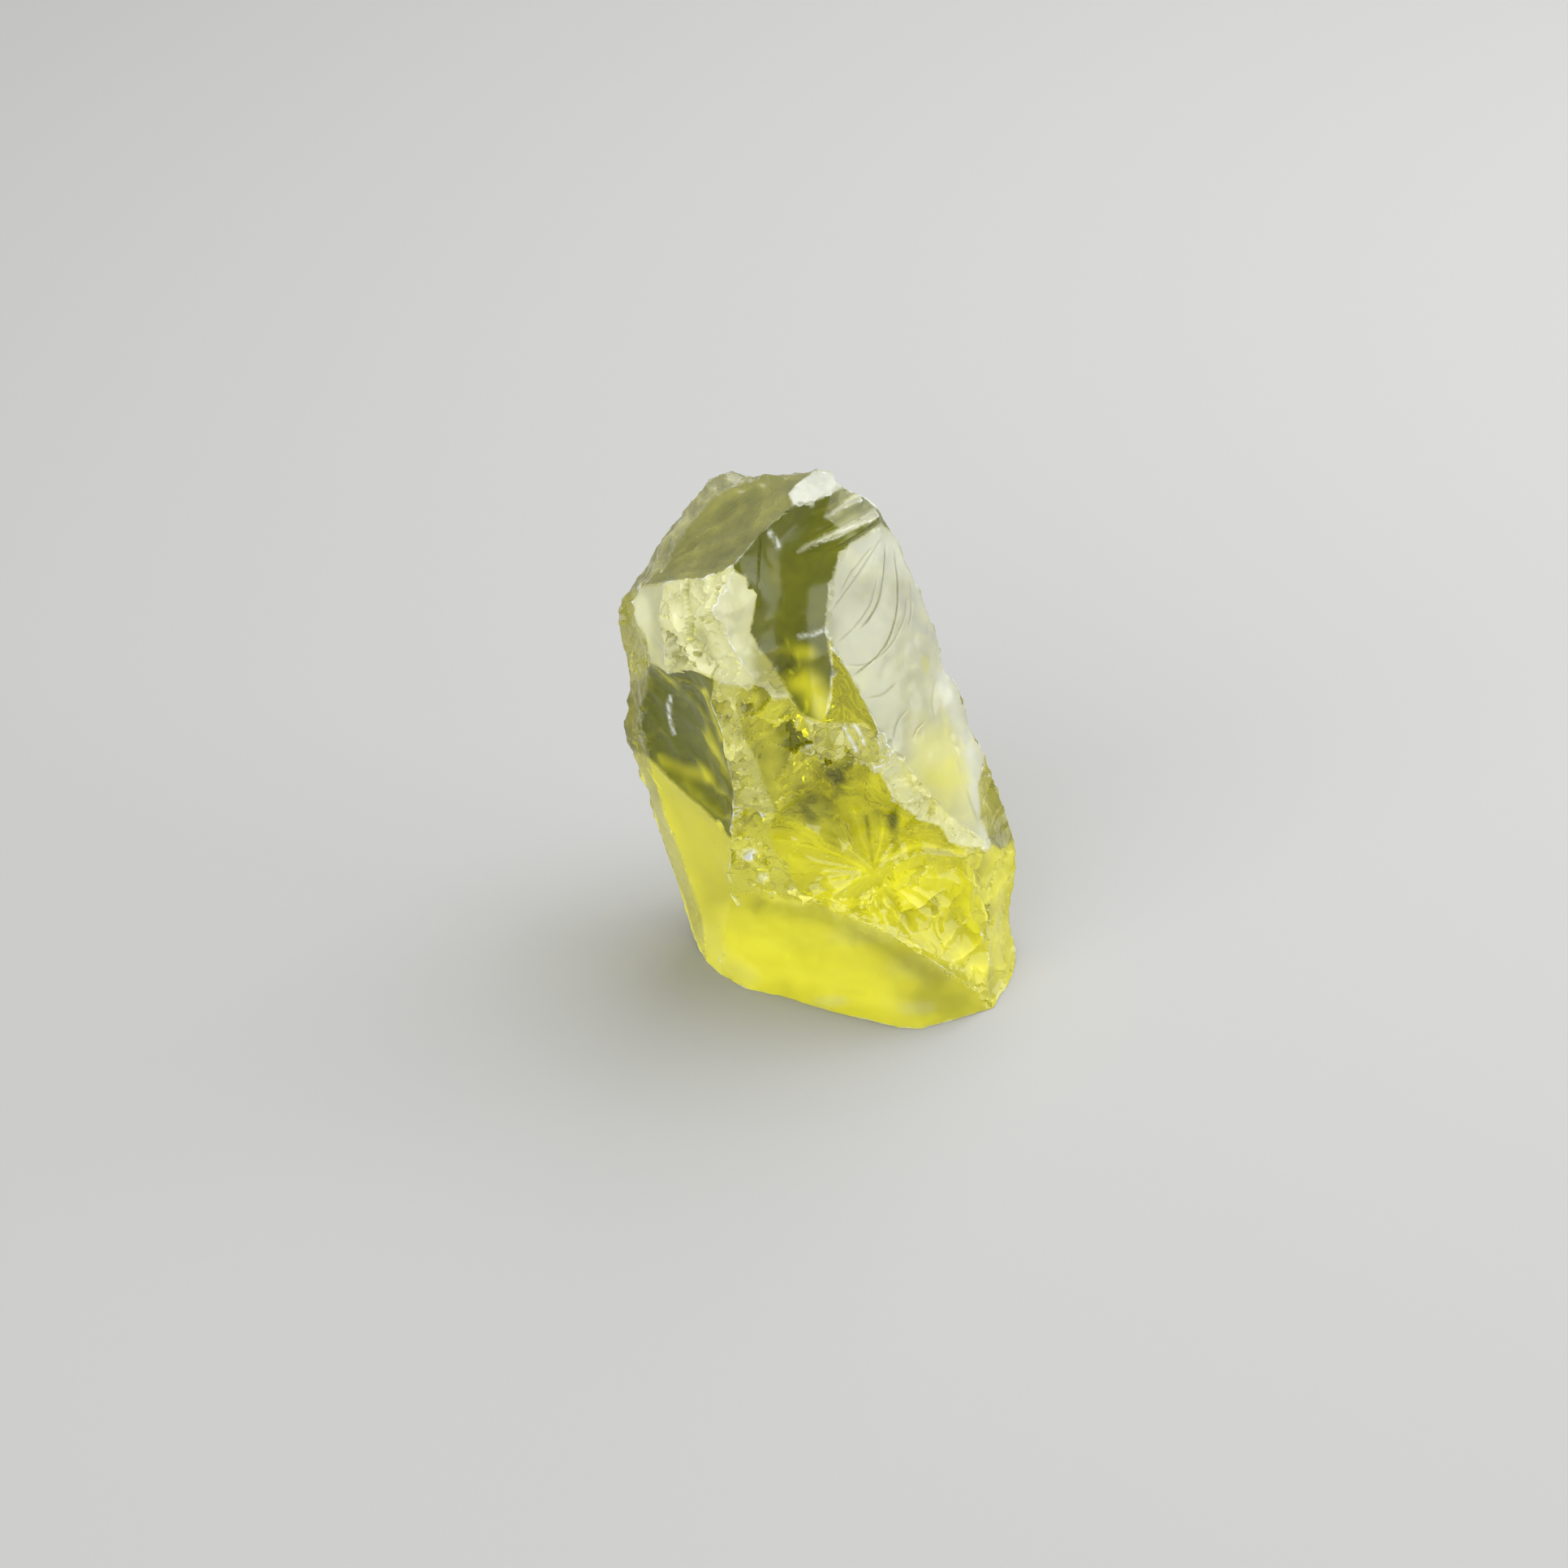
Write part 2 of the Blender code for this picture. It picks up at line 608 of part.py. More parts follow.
def centre_on_base(bm, cutters):
    """Moves the stone so that its box stands on the origin, and the chips with it."""
    low = [min(vert.co[axis] for vert in bm.verts) for axis in range(3)]
    high = [max(vert.co[axis] for vert in bm.verts) for axis in range(3)]
    shift = Vector((-(low[0] + high[0]) / 2, -(low[1] + high[1]) / 2, -low[2]))
    bmesh.ops.translate(bm, vec=shift, verts=bm.verts)
    return [(centre + shift, *rest) for centre, *rest in cutters]


def build_stone():
    noise.seed_set(NOISE_SEED)
    bm = bmesh.new()
    number = cage(bm)
    refine(bm, number)
    relax(bm, number, RELAX_ROUNDS)
    wander(bm, number)
    hollow(bm, number)
    bm.normal_update()
    places = centre_on_base(bm, chip_places(bm, number))
    bmesh.ops.scale(bm, vec=(MM, MM, MM), verts=bm.verts)
    mesh = bpy.data.meshes.new("prasiolite")
    bm.to_mesh(mesh)
    bm.free()
    stone = bpy.data.objects.new("prasiolite", mesh)
    bpy.context.scene.collection.objects.link(stone)
    mesh.materials.append(stone_material())
    cut = stone.modifiers.new("chips", "BOOLEAN")
    cut.operation = "DIFFERENCE"
    cut.solver = "EXACT"
    cut.use_self = True
    cut.object = chip_cutter(places)
    mesh.shade_smooth()
    mesh.set_sharp_from_angle(angle=math.radians(18))
    return stone


def main():
    clear_scene()
    build_stone()


main()
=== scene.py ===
"""Dresses the raw prasiolite: the broken, see-through stone with its chips, and the stage.

The stone's front is laid out as it looks to someone who faces it and looks down on it. Each
corner there has a place in that view, in millimetres across and up, and a distance back. The
faces between the corners are cut fine, relaxed into smooth breaks and hollowed. Then come the
ribs and fine splinters that a break leaves, the chips along the edges, and the finish, with glow,
shade, sheen and glints painted on it.
"""

import math
import random

import bmesh
import bpy
from bpy.props import FloatProperty, FloatVectorProperty, PointerProperty
from mathutils import Matrix, Vector, geometry, kdtree, noise
from mathutils.bvhtree import BVHTree


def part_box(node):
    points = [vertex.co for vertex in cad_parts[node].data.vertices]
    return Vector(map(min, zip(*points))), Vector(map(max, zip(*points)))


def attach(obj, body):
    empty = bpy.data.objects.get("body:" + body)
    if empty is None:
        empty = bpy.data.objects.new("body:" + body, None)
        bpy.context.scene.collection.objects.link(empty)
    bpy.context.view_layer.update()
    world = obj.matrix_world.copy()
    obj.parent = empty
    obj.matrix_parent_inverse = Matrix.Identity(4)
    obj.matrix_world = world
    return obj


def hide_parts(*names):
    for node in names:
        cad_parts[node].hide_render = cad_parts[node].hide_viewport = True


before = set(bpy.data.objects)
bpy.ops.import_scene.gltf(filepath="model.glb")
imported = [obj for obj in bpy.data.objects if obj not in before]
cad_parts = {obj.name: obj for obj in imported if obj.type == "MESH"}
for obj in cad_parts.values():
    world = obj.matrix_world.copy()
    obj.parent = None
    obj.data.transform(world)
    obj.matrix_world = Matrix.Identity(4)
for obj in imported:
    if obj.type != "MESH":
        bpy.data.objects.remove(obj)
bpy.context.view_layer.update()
STONE_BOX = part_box("prasiolite")

bl_info = {
    "name": "Raw prasiolite",
    "version": (1, 0, 0),
    "blender": (4, 5, 0),
    "location": "View3D > Sidebar > Prasiolite",
    "description": "Makes a raw, see-through piece of prasiolite and a plain stage for it",
    "category": "Object",
}

MM = 0.001

# The line of sight that the front is laid out in
VIEW_HEIGHT = math.radians(32)
VIEW_DISTANCE = 300.0
VIEW_ACROSS, VIEW_UP, VIEW_BACK = -2.33, 16.8, 10.0
FRAME_WIDTH = 107.3  # mm that the picture takes in, at the point looked at
SENSOR = 36.0

# Corners that show in the view: mm across, mm up, mm back
SEEN = {
    # top, and the small bright face there
    "top_left": (-1.0, 37.8, 13.2),
    "crest": (0.1, 38.5, 13.8),
    "crest_right": (1.4, 38.1, 13.9),
    "cap_edge_a": (0.9, 36.7, 11.8),
    "cap_edge_b": (-0.4, 36.1, 10.8),
    "cap_edge_c": (-1.8, 35.9, 10.0),
    "cap_edge_d": (-2.0, 36.7, 10.9),
    # right outline, downwards
    "right_01": (2.0, 37.2, 13.8),
    "right_02": (3.3, 36.4, 13.6),
    "right_03": (4.3, 35.3, 13.7),
    "right_04": (5.2, 34.0, 13.8),
    "right_05": (6.0, 32.0, 13.9),
    "right_06": (7.0, 30.0, 14.0),
    "right_07": (8.0, 27.2, 13.9),
    "right_08": (8.6, 24.7, 13.5),
    "right_09": (9.8, 23.1, 13.2),
    "right_10": (10.4, 20.7, 12.9),
    "right_11": (11.4, 19.0, 12.6),
    "right_12": (12.3, 17.0, 12.3),
    "right_13": (12.8, 15.0, 12.0),
    "right_14": (13.4, 13.0, 11.5),
    "right_15": (13.6, 11.2, 11.0),
    "right_16": (13.15, 9.0, 10.4),
    "right_17": (13.05, 7.4, 10.0),
    "right_18": (13.5, 5.6, 9.2),
    # left outline, upwards
    "left_04": (-8.4, 6.2, 10.9),
    "left_05": (-8.9, 7.6, 11.8),
    "left_06": (-9.7, 10.2, 12.6),
    "left_07": (-10.2, 11.6, 12.8),
    "left_08": (-11.0, 14.0, 13.0),
    "left_09": (-12.0, 17.0, 13.0),
    "left_10": (-12.9, 19.2, 12.8),
    "left_11": (-13.35, 20.5, 12.6),
    "left_12": (-13.2, 22.0, 12.4),
    "left_13": (-12.95, 23.6, 12.2),
    "left_14": (-13.0, 25.0, 12.2),
    "left_15": (-13.4, 26.5, 12.2),
    "left_16": (-13.6, 28.6, 12.3),
    "left_17": (-13.4, 29.5, 12.6),
    "left_18": (-12.9, 30.1, 12.9),
    "left_19": (-12.0, 31.2, 13.6),
    "left_20": (-10.2, 34.3, 14.6),
    "left_21": (-9.0, 35.7, 15.0),
    "left_22": (-7.4, 37.6, 15.4),
    "left_23": (-6.0, 38.25, 15.4),
    "left_24": (-4.4, 37.75, 15.0),
    "left_25": (-3.6, 37.95, 14.7),
    "left_26": (-1.8, 37.7, 13.6),
    # two bright bands under the small face at the top
    "band_1_tip": (0.4, 35.1, 11.0),
    "band_1_front": (3.05, 36.2, 12.9),
    "band_1_back": (2.75, 36.7, 13.5),
    "band_2_tip": (-1.3, 32.7, 9.0),
    "band_2_middle": (1.5, 34.4, 11.0),
    "band_2_back": (3.95, 35.65, 13.5),
    "band_2_front": (4.15, 35.05, 12.7),
    "band_2_lower": (1.65, 33.8, 10.0),
    # ridge between the upper left slope and the great hollow
    "ridge_1": (-2.6, 35.1, 9.2),
    "ridge_2": (-3.8, 34.0, 8.2),
    "ridge_3": (-5.0, 32.8, 7.2),
    "ridge_4": (-6.1, 31.5, 6.2),
    # low ridge on the upper left slope
    "slope_1": (-10.4, 31.9, 11.2),
    "slope_2": (-9.0, 34.2, 12.6),
    "slope_3": (-7.0, 36.6, 13.9),
    # crusty ledge
    "ledge_top_1": (-8.0, 30.9, 6.3),
    "ledge_top_2": (-10.4, 30.6, 8.2),
    "ledge_top_3": (-12.0, 30.3, 10.8),
    "ledge_left_3": (-12.7, 29.4, 10.6),
    "ledge_left_2": (-12.6, 28.4, 9.8),
    "ledge_left_1": (-11.9, 27.0, 8.4),
    "ledge_low_0": (-11.5, 25.2, 7.6),
    "ledge_low_1": (-10.3, 24.3, 5.8),
    "ledge_low_2": (-9.0, 24.7, 4.3),
    "ledge_low_3": (-7.0, 24.0, 3.4),
    "ledge_low_4": (-5.6, 23.4, 3.5),
    "ledge_mid_1": (-10.9, 28.2, 6.8),
    "ledge_mid_2": (-7.2, 28.6, 3.6),
    "ledge_mid_3": (-6.0, 26.4, 3.5),
    "tongue_1": (-4.9, 30.8, 5.9),
    "tongue_2": (-4.2, 29.8, 5.5),
    "tongue_3": (-4.4, 28.3, 5.0),
    "tongue_4": (-4.7, 27.1, 4.6),
    # foot of the great hollow
    "hollow_1": (-3.2, 25.0, 5.0),
    "hollow_2": (-1.9, 22.8, 5.0),
    "hollow_3": (-0.9, 21.4, 4.8),
    "hollow_foot": (0.3, 21.0, 4.7),
    "fin_1": (0.8, 22.5, 4.9),
    "fin_2": (0.95, 24.8, 5.5),
    # leaf-shaped bright face
    "leaf_top": (4.3, 34.5, 12.4),
    "leaf_01": (2.2, 33.2, 10.0),
    "leaf_02": (1.35, 32.0, 8.8),
    "leaf_03": (1.0, 30.5, 7.8),
    "leaf_04": (0.6, 28.6, 6.8),
    "leaf_05": (0.6, 27.0, 6.1),
    "leaf_06": (1.1, 26.0, 5.8),
    "leaf_07": (2.0, 24.6, 5.4),
    "leaf_08": (3.2, 22.3, 4.9),
    "leaf_09": (4.2, 20.3, 4.7),
    "leaf_10": (5.4, 18.9, 4.9),
    "leaf_step_1": (7.0, 16.8, 5.6),
    "leaf_step_2": (8.6, 15.0, 6.4),
    "leaf_step_3": (10.2, 13.8, 7.6),
    "leaf_step_4": (11.8, 12.8, 9.1),
    "leaf_side_4": (11.1, 14.5, 9.9),
    "leaf_side_3": (10.9, 16.6, 10.5),
    "leaf_side_2": (11.2, 17.8, 11.4),
    "strip_0": (4.3, 17.6, 4.2),
    "strip_1": (5.2, 15.8, 4.0),
    "strip_2": (6.5, 14.7, 4.3),
    "strip_3": (8.3, 14.0, 5.4),
    "strip_4": (9.0, 12.8, 5.9),
    "strip_5": (11.5, 12.1, 8.2),
    "side_in": (12.5, 12.4, 9.9),
    # knot of chips at the middle
    "knot_right": (2.2, 21.0, 5.2),
    "knot_low": (2.6, 18.3, 4.9),
    "knot_foot": (0.5, 18.0, 4.3),
    "knot_left": (-0.3, 19.5, 4.3),
    # column under the tongue
    "column_top_2": (-4.2, 23.6, 4.0),
    "column_top_3": (-3.0, 22.6, 4.4),
    "column_low_1": (-0.2, 16.6, 4.7),
    "column_low_2": (-1.4, 16.0, 4.5),
    # spine, left edge and right edge
    "spine_left_5": (-7.3, 22.4, 3.3),
    "spine_left_4": (-6.6, 20.3, 3.3),
    "spine_left_3": (-6.0, 17.8, 3.6),
    "spine_left_2": (-5.7, 15.2, 4.1),
    "spine_left_1": (-5.8, 13.0, 4.8),
    "spine_right_4": (-5.6, 22.0, 3.2),
    "spine_right_3": (-5.2, 20.4, 3.1),
    "spine_right_2": (-4.3, 18.5, 3.4),
    "spine_right_1": (-3.6, 16.6, 3.8),
    "spine_foot": (-2.9, 14.9, 4.4),
    "chips_1": (-3.4, 13.0, 4.6),
    "chips_2": (-2.2, 11.0, 4.6),
    "chips_3": (-1.2, 9.5, 4.6),
    # left hollow and the faces under it
    "hollow_left_top": (-11.7, 24.2, 9.0),
    "hollow_left_rim": (-12.3, 20.4, 10.9),
    "flank_1": (-8.0, 15.2, 6.8),
    "flank_2": (-10.0, 17.0, 9.0),
    "flank_3": (-11.6, 18.6, 11.0),
    "flank_strip_1": (-10.6, 15.0, 10.6),
    "flank_strip_2": (-9.0, 10.8, 10.4),
    "flank_strip_3": (-7.9, 7.6, 9.6),
    "flank_right_1": (-6.1, 11.0, 5.7),
    "foot_corner": (-5.8, 9.3, 6.5),
    "flank_right_2": (-6.4, 6.8, 6.9),
    # top edge of the frosted front face
    "front_1": (-4.0, 9.4, 5.5),
    "front_2": (-2.2, 9.3, 4.6),
    "front_3": (0.4, 8.6, 3.2),
    "front_4": (2.0, 7.9, 2.4),
    "front_5": (4.0, 7.0, 1.5),
    "front_6": (6.0, 5.8, 0.9),
    "front_7": (8.0, 4.6, 0.9),
    "front_8": (10.0, 3.2, 1.6),
    "front_9": (11.4, 2.2, 2.6),
    # faces that meet at the star
    "star": (3.8, 10.9, 3.8),
    "star_left": (2.0, 9.7, 3.2),
    "seam_a1": (-1.5, 14.2, 4.7),
    "seam_a2": (0.2, 13.2, 4.3),
    "seam_a3": (2.0, 11.9, 3.9),
    "seam_b1": (1.2, 15.6, 4.6),
    "seam_b2": (2.0, 14.0, 4.2),
    "seam_b3": (3.0, 12.0, 3.9),
    "seam_c": (7.0, 12.0, 4.2),
    "end_1": (10.1, 11.8, 6.4),
    "end_2": (10.9, 8.7, 5.4),
    "end_3": (11.8, 5.0, 4.8),
}

# Corners that stand on the surface under the stone: mm across, mm up
STANDING = {
    "foot_01": (13.5, 4.4),
    "foot_02": (12.9, 3.0),
    "foot_03": (12.0, 1.5),
    "foot_04": (9.5, 0.7),
    "foot_05": (7.0, 0.05),
    "foot_06": (5.6, 0.1),
    "foot_07": (3.5, 0.6),
    "foot_08": (1.0, 1.2),
    "foot_09": (-0.9, 1.8),
    "foot_10": (-2.5, 2.3),
    "foot_11": (-5.0, 2.75),
    "foot_12": (-6.7, 3.75),
    "foot_13": (-7.6, 4.7),
}

# Corners behind the outline: mm right, mm back, mm above the surface
HIDDEN = {
    "heel_1": (-6.8, 16.2, 0.0),
    "heel_2": (-0.6, 19.2, 0.0),
    "heel_3": (6.4, 17.9, 0.0),
    "heel_4": (12.2, 12.3, 0.0),
    "rear_crown": (-3.6, 18.2, 32.2),
    "rear_ridge_1": (-5.4, 20.2, 25.6),
    "rear_ridge_2": (-2.2, 22.4, 17.4),
    "rear_ridge_3": (2.6, 22.4, 9.2),
    "rear_ridge_4": (5.0, 20.2, 3.2),
    "rear_left_1": (-10.2, 17.2, 20.4),
    "rear_left_2": (-8.2, 18.8, 8.2),
    "rear_right_1": (2.2, 17.8, 27.6),
    "rear_right_2": (8.0, 17.4, 14.4),
    "rear_right_3": (10.6, 15.2, 5.4),
}

# Each broken face: how far it is hollowed, in mm, and its corners in order
FACES = {
    "cap": (0.1, "top_left crest crest_right right_01 cap_edge_a cap_edge_b cap_edge_c cap_edge_d"),
    "slope": (
        0.3,
        "ridge_4 ridge_3 ridge_2 ridge_1 cap_edge_c cap_edge_d top_left left_26 left_25"
        " slope_3 slope_2 slope_1 ledge_top_3 ledge_top_2 ledge_top_1",
    ),
    "slope_rim": (
        0.0,
        "ledge_top_3 slope_1 slope_2 slope_3 left_25 left_24 left_23 left_22 left_21 left_20"
        " left_19 left_18",
    ),
    "upper_wall": (0.15, "cap_edge_a right_01 right_02 band_1_back band_1_tip"),
    "upper_band": (0.0, "band_1_tip band_1_back band_1_front"),
    "middle_wall": (
        0.2,
        "band_1_tip band_1_front band_1_back right_02 right_03 band_2_back band_2_middle",
    ),
    "lower_band": (0.0, "band_2_tip band_2_middle band_2_back band_2_front band_2_lower"),
    "great_hollow": (
        0.8,
        "cap_edge_c ridge_1 ridge_2 ridge_3 ridge_4 tongue_1 tongue_2 tongue_3 tongue_4 hollow_1"
        " hollow_2 hollow_3 hollow_foot fin_1 fin_2 leaf_05 leaf_04 leaf_03 leaf_02 leaf_01"
        " leaf_top right_04 right_03 band_2_back band_2_front band_2_lower band_2_tip"
        " band_2_middle band_1_tip cap_edge_a cap_edge_b",
    ),
    "fin": (
        0.5,
        "leaf_05 leaf_06 leaf_07 leaf_08 leaf_09 knot_right hollow_foot fin_1 fin_2",
    ),
    "leaf": (
        -0.35,
        "leaf_top leaf_01 leaf_02 leaf_03 leaf_04 leaf_05 leaf_06 leaf_07 leaf_08 leaf_09 leaf_10"
        " leaf_step_1 leaf_step_2 leaf_step_3 leaf_step_4 leaf_side_4 leaf_side_3 leaf_side_2"
        " right_11 right_10 right_09 right_08 right_07 right_06 right_05 right_04",
    ),
    "leaf_strip": (
        0.0,
        "leaf_09 leaf_10 leaf_step_1 leaf_step_2 leaf_step_3 leaf_step_4 strip_5 strip_4 strip_3"
        " strip_2 strip_1 strip_0",
    ),
    "right_side": (
        0.3,
        "right_11 right_12 right_13 right_14 side_in leaf_step_4 leaf_side_4 leaf_side_3"
        " leaf_side_2",
    ),
    "right_end": (
        0.3,
        "strip_5 leaf_step_4 side_in right_14 right_15 right_16 right_17 right_18 foot_01 foot_02"
        " foot_03 front_9 end_3 end_2 end_1",
    ),
    "knot": (
        0.2,
        "hollow_foot knot_right leaf_09 strip_0 knot_low knot_foot knot_left hollow_3",
    ),
    "star_upper": (
        0.6,
        "star seam_b3 seam_b2 seam_b1 knot_foot knot_low strip_0 strip_1 strip_2 strip_3 strip_4"
        " strip_5 end_1 seam_c",
    ),
    "star_lower": (
        0.6,
        "star seam_c end_1 end_2 end_3 front_9 front_8 front_7 front_6 front_5 front_4 front_3"
        " star_left",
    ),
    "star_left_face": (
        0.4,
        "star star_left front_3 chips_3 chips_2 chips_1 spine_foot seam_a1 seam_a2 seam_a3",
    ),
    "star_middle": (
        0.4,
        "star seam_a3 seam_a2 seam_a1 spine_foot column_low_2 column_low_1 knot_foot seam_b1"
        " seam_b2 seam_b3",
    ),
    "column": (
        0.3,
        "hollow_3 knot_left knot_foot column_low_1 column_low_2 spine_foot spine_right_1"
        " spine_right_2 spine_right_3 spine_right_4 ledge_low_4 column_top_2 column_top_3"
        " hollow_2",
    ),
    "ledge_left": (
        0.15,
        "ledge_top_3 ledge_top_2 ledge_mid_1 ledge_low_1 ledge_low_0 ledge_left_1 ledge_left_2"
        " ledge_left_3",
    ),
    "ledge": (
        0.3,
        "ledge_top_2 ledge_top_1 ridge_4 ledge_mid_2 ledge_mid_3 column_top_2 ledge_low_4"
        " ledge_low_3 ledge_low_2 ledge_low_1 ledge_mid_1",
    ),
    "tongue": (
        0.1,
        "ridge_4 tongue_1 tongue_2 tongue_3 tongue_4 hollow_1 hollow_2 column_top_3 column_top_2"
        " ledge_mid_3 ledge_mid_2",
    ),
    "left_rim": (
        0.2,
        "left_18 left_17 left_16 left_15 left_14 left_13 hollow_left_top ledge_low_0 ledge_left_1"
        " ledge_left_2 ledge_left_3 ledge_top_3",
    ),
    "left_hollow": (
        0.9,
        "hollow_left_top ledge_low_0 ledge_low_1 ledge_low_2 ledge_low_3 spine_left_5"
        " spine_left_4 spine_left_3 spine_left_2 spine_left_1 flank_1 flank_2 flank_3"
        " hollow_left_rim",
    ),
    "left_hollow_rim": (
        0.1,
        "left_13 left_12 left_11 left_10 flank_3 hollow_left_rim hollow_left_top",
    ),
    "flank": (
        0.2,
        "flank_3 flank_2 flank_1 spine_left_1 flank_right_1 foot_corner flank_right_2 foot_12"
        " foot_13 flank_strip_3 flank_strip_2 flank_strip_1",
    ),
    "flank_strip": (
        0.0,
        "left_10 flank_3 flank_strip_1 flank_strip_2 flank_strip_3 foot_13 left_04 left_05 left_06"
        " left_07 left_08 left_09",
    ),
    "spine": (
        0.0,
        "ledge_low_3 ledge_low_4 spine_right_4 spine_right_3 spine_right_2 spine_right_1"
        " spine_foot spine_left_2 spine_left_3 spine_left_4 spine_left_5",
    ),
    "chips": (
        0.2,
        "spine_left_2 spine_foot chips_1 chips_2 chips_3 front_3 front_2 front_1 foot_corner"
        " flank_right_1 spine_left_1",
    ),
    "front": (
        -0.25,
        "foot_corner front_1 front_2 front_3 front_4 front_5 front_6 front_7 front_8 front_9"
        " foot_03 foot_04 foot_05 foot_06 foot_07 foot_08 foot_09 foot_10 foot_11 foot_12"
        " flank_right_2",
    ),
    "base": (
        0.0,
        "foot_01 foot_02 foot_03 foot_04 foot_05 foot_06 foot_07 foot_08 foot_09 foot_10 foot_11"
        " foot_12 foot_13 heel_1 heel_2 heel_3 heel_4",
    ),
    "rear_top": (0.2, "left_22 left_23 left_24 left_25 left_26 top_left crest rear_crown"),
    "rear_shoulder": (
        0.9,
        "crest crest_right right_01 right_02 right_03 right_04 rear_right_1 rear_ridge_1"
        " rear_crown",
    ),
    "rear_left_top": (
        0.5,
        "left_16 left_17 left_18 left_19 left_20 left_21 left_22 rear_crown rear_ridge_1"
        " rear_left_1",
    ),
    "rear_left_side": (
        0.7,
        "left_08 left_09 left_10 left_11 left_12 left_13 left_14 left_15 left_16 rear_left_1"
        " rear_left_2",
    ),
    "rear_left_low": (
        0.3,
        "foot_13 left_04 left_05 left_06 left_07 left_08 rear_left_2 heel_1",
    ),
    "rear_middle": (1.1, "rear_left_1 rear_ridge_1 rear_ridge_2 rear_ridge_3 rear_left_2"),
    "rear_low": (0.6, "rear_left_2 rear_ridge_3 rear_ridge_4 heel_3 heel_2 heel_1"),
    "rear_right_top": (
        0.8,
        "right_04 right_05 right_06 right_07 right_08 right_09 rear_right_2 rear_ridge_2"
        " rear_ridge_1 rear_right_1",
    ),
    "rear_right_side": (
        0.5,
        "right_09 right_10 right_11 right_12 right_13 rear_right_3 rear_right_2",
    ),
    "rear_right_low": (0.8, "rear_ridge_2 rear_right_2 rear_right_3 rear_ridge_4 rear_ridge_3"),
    "rear_right_end": (
        0.3,
        "right_13 right_14 right_15 right_16 right_17 right_18 foot_01 heel_4 rear_right_3",
    ),
    "rear_heel": (0.2, "rear_right_3 heel_4 heel_3 rear_ridge_4"),
}

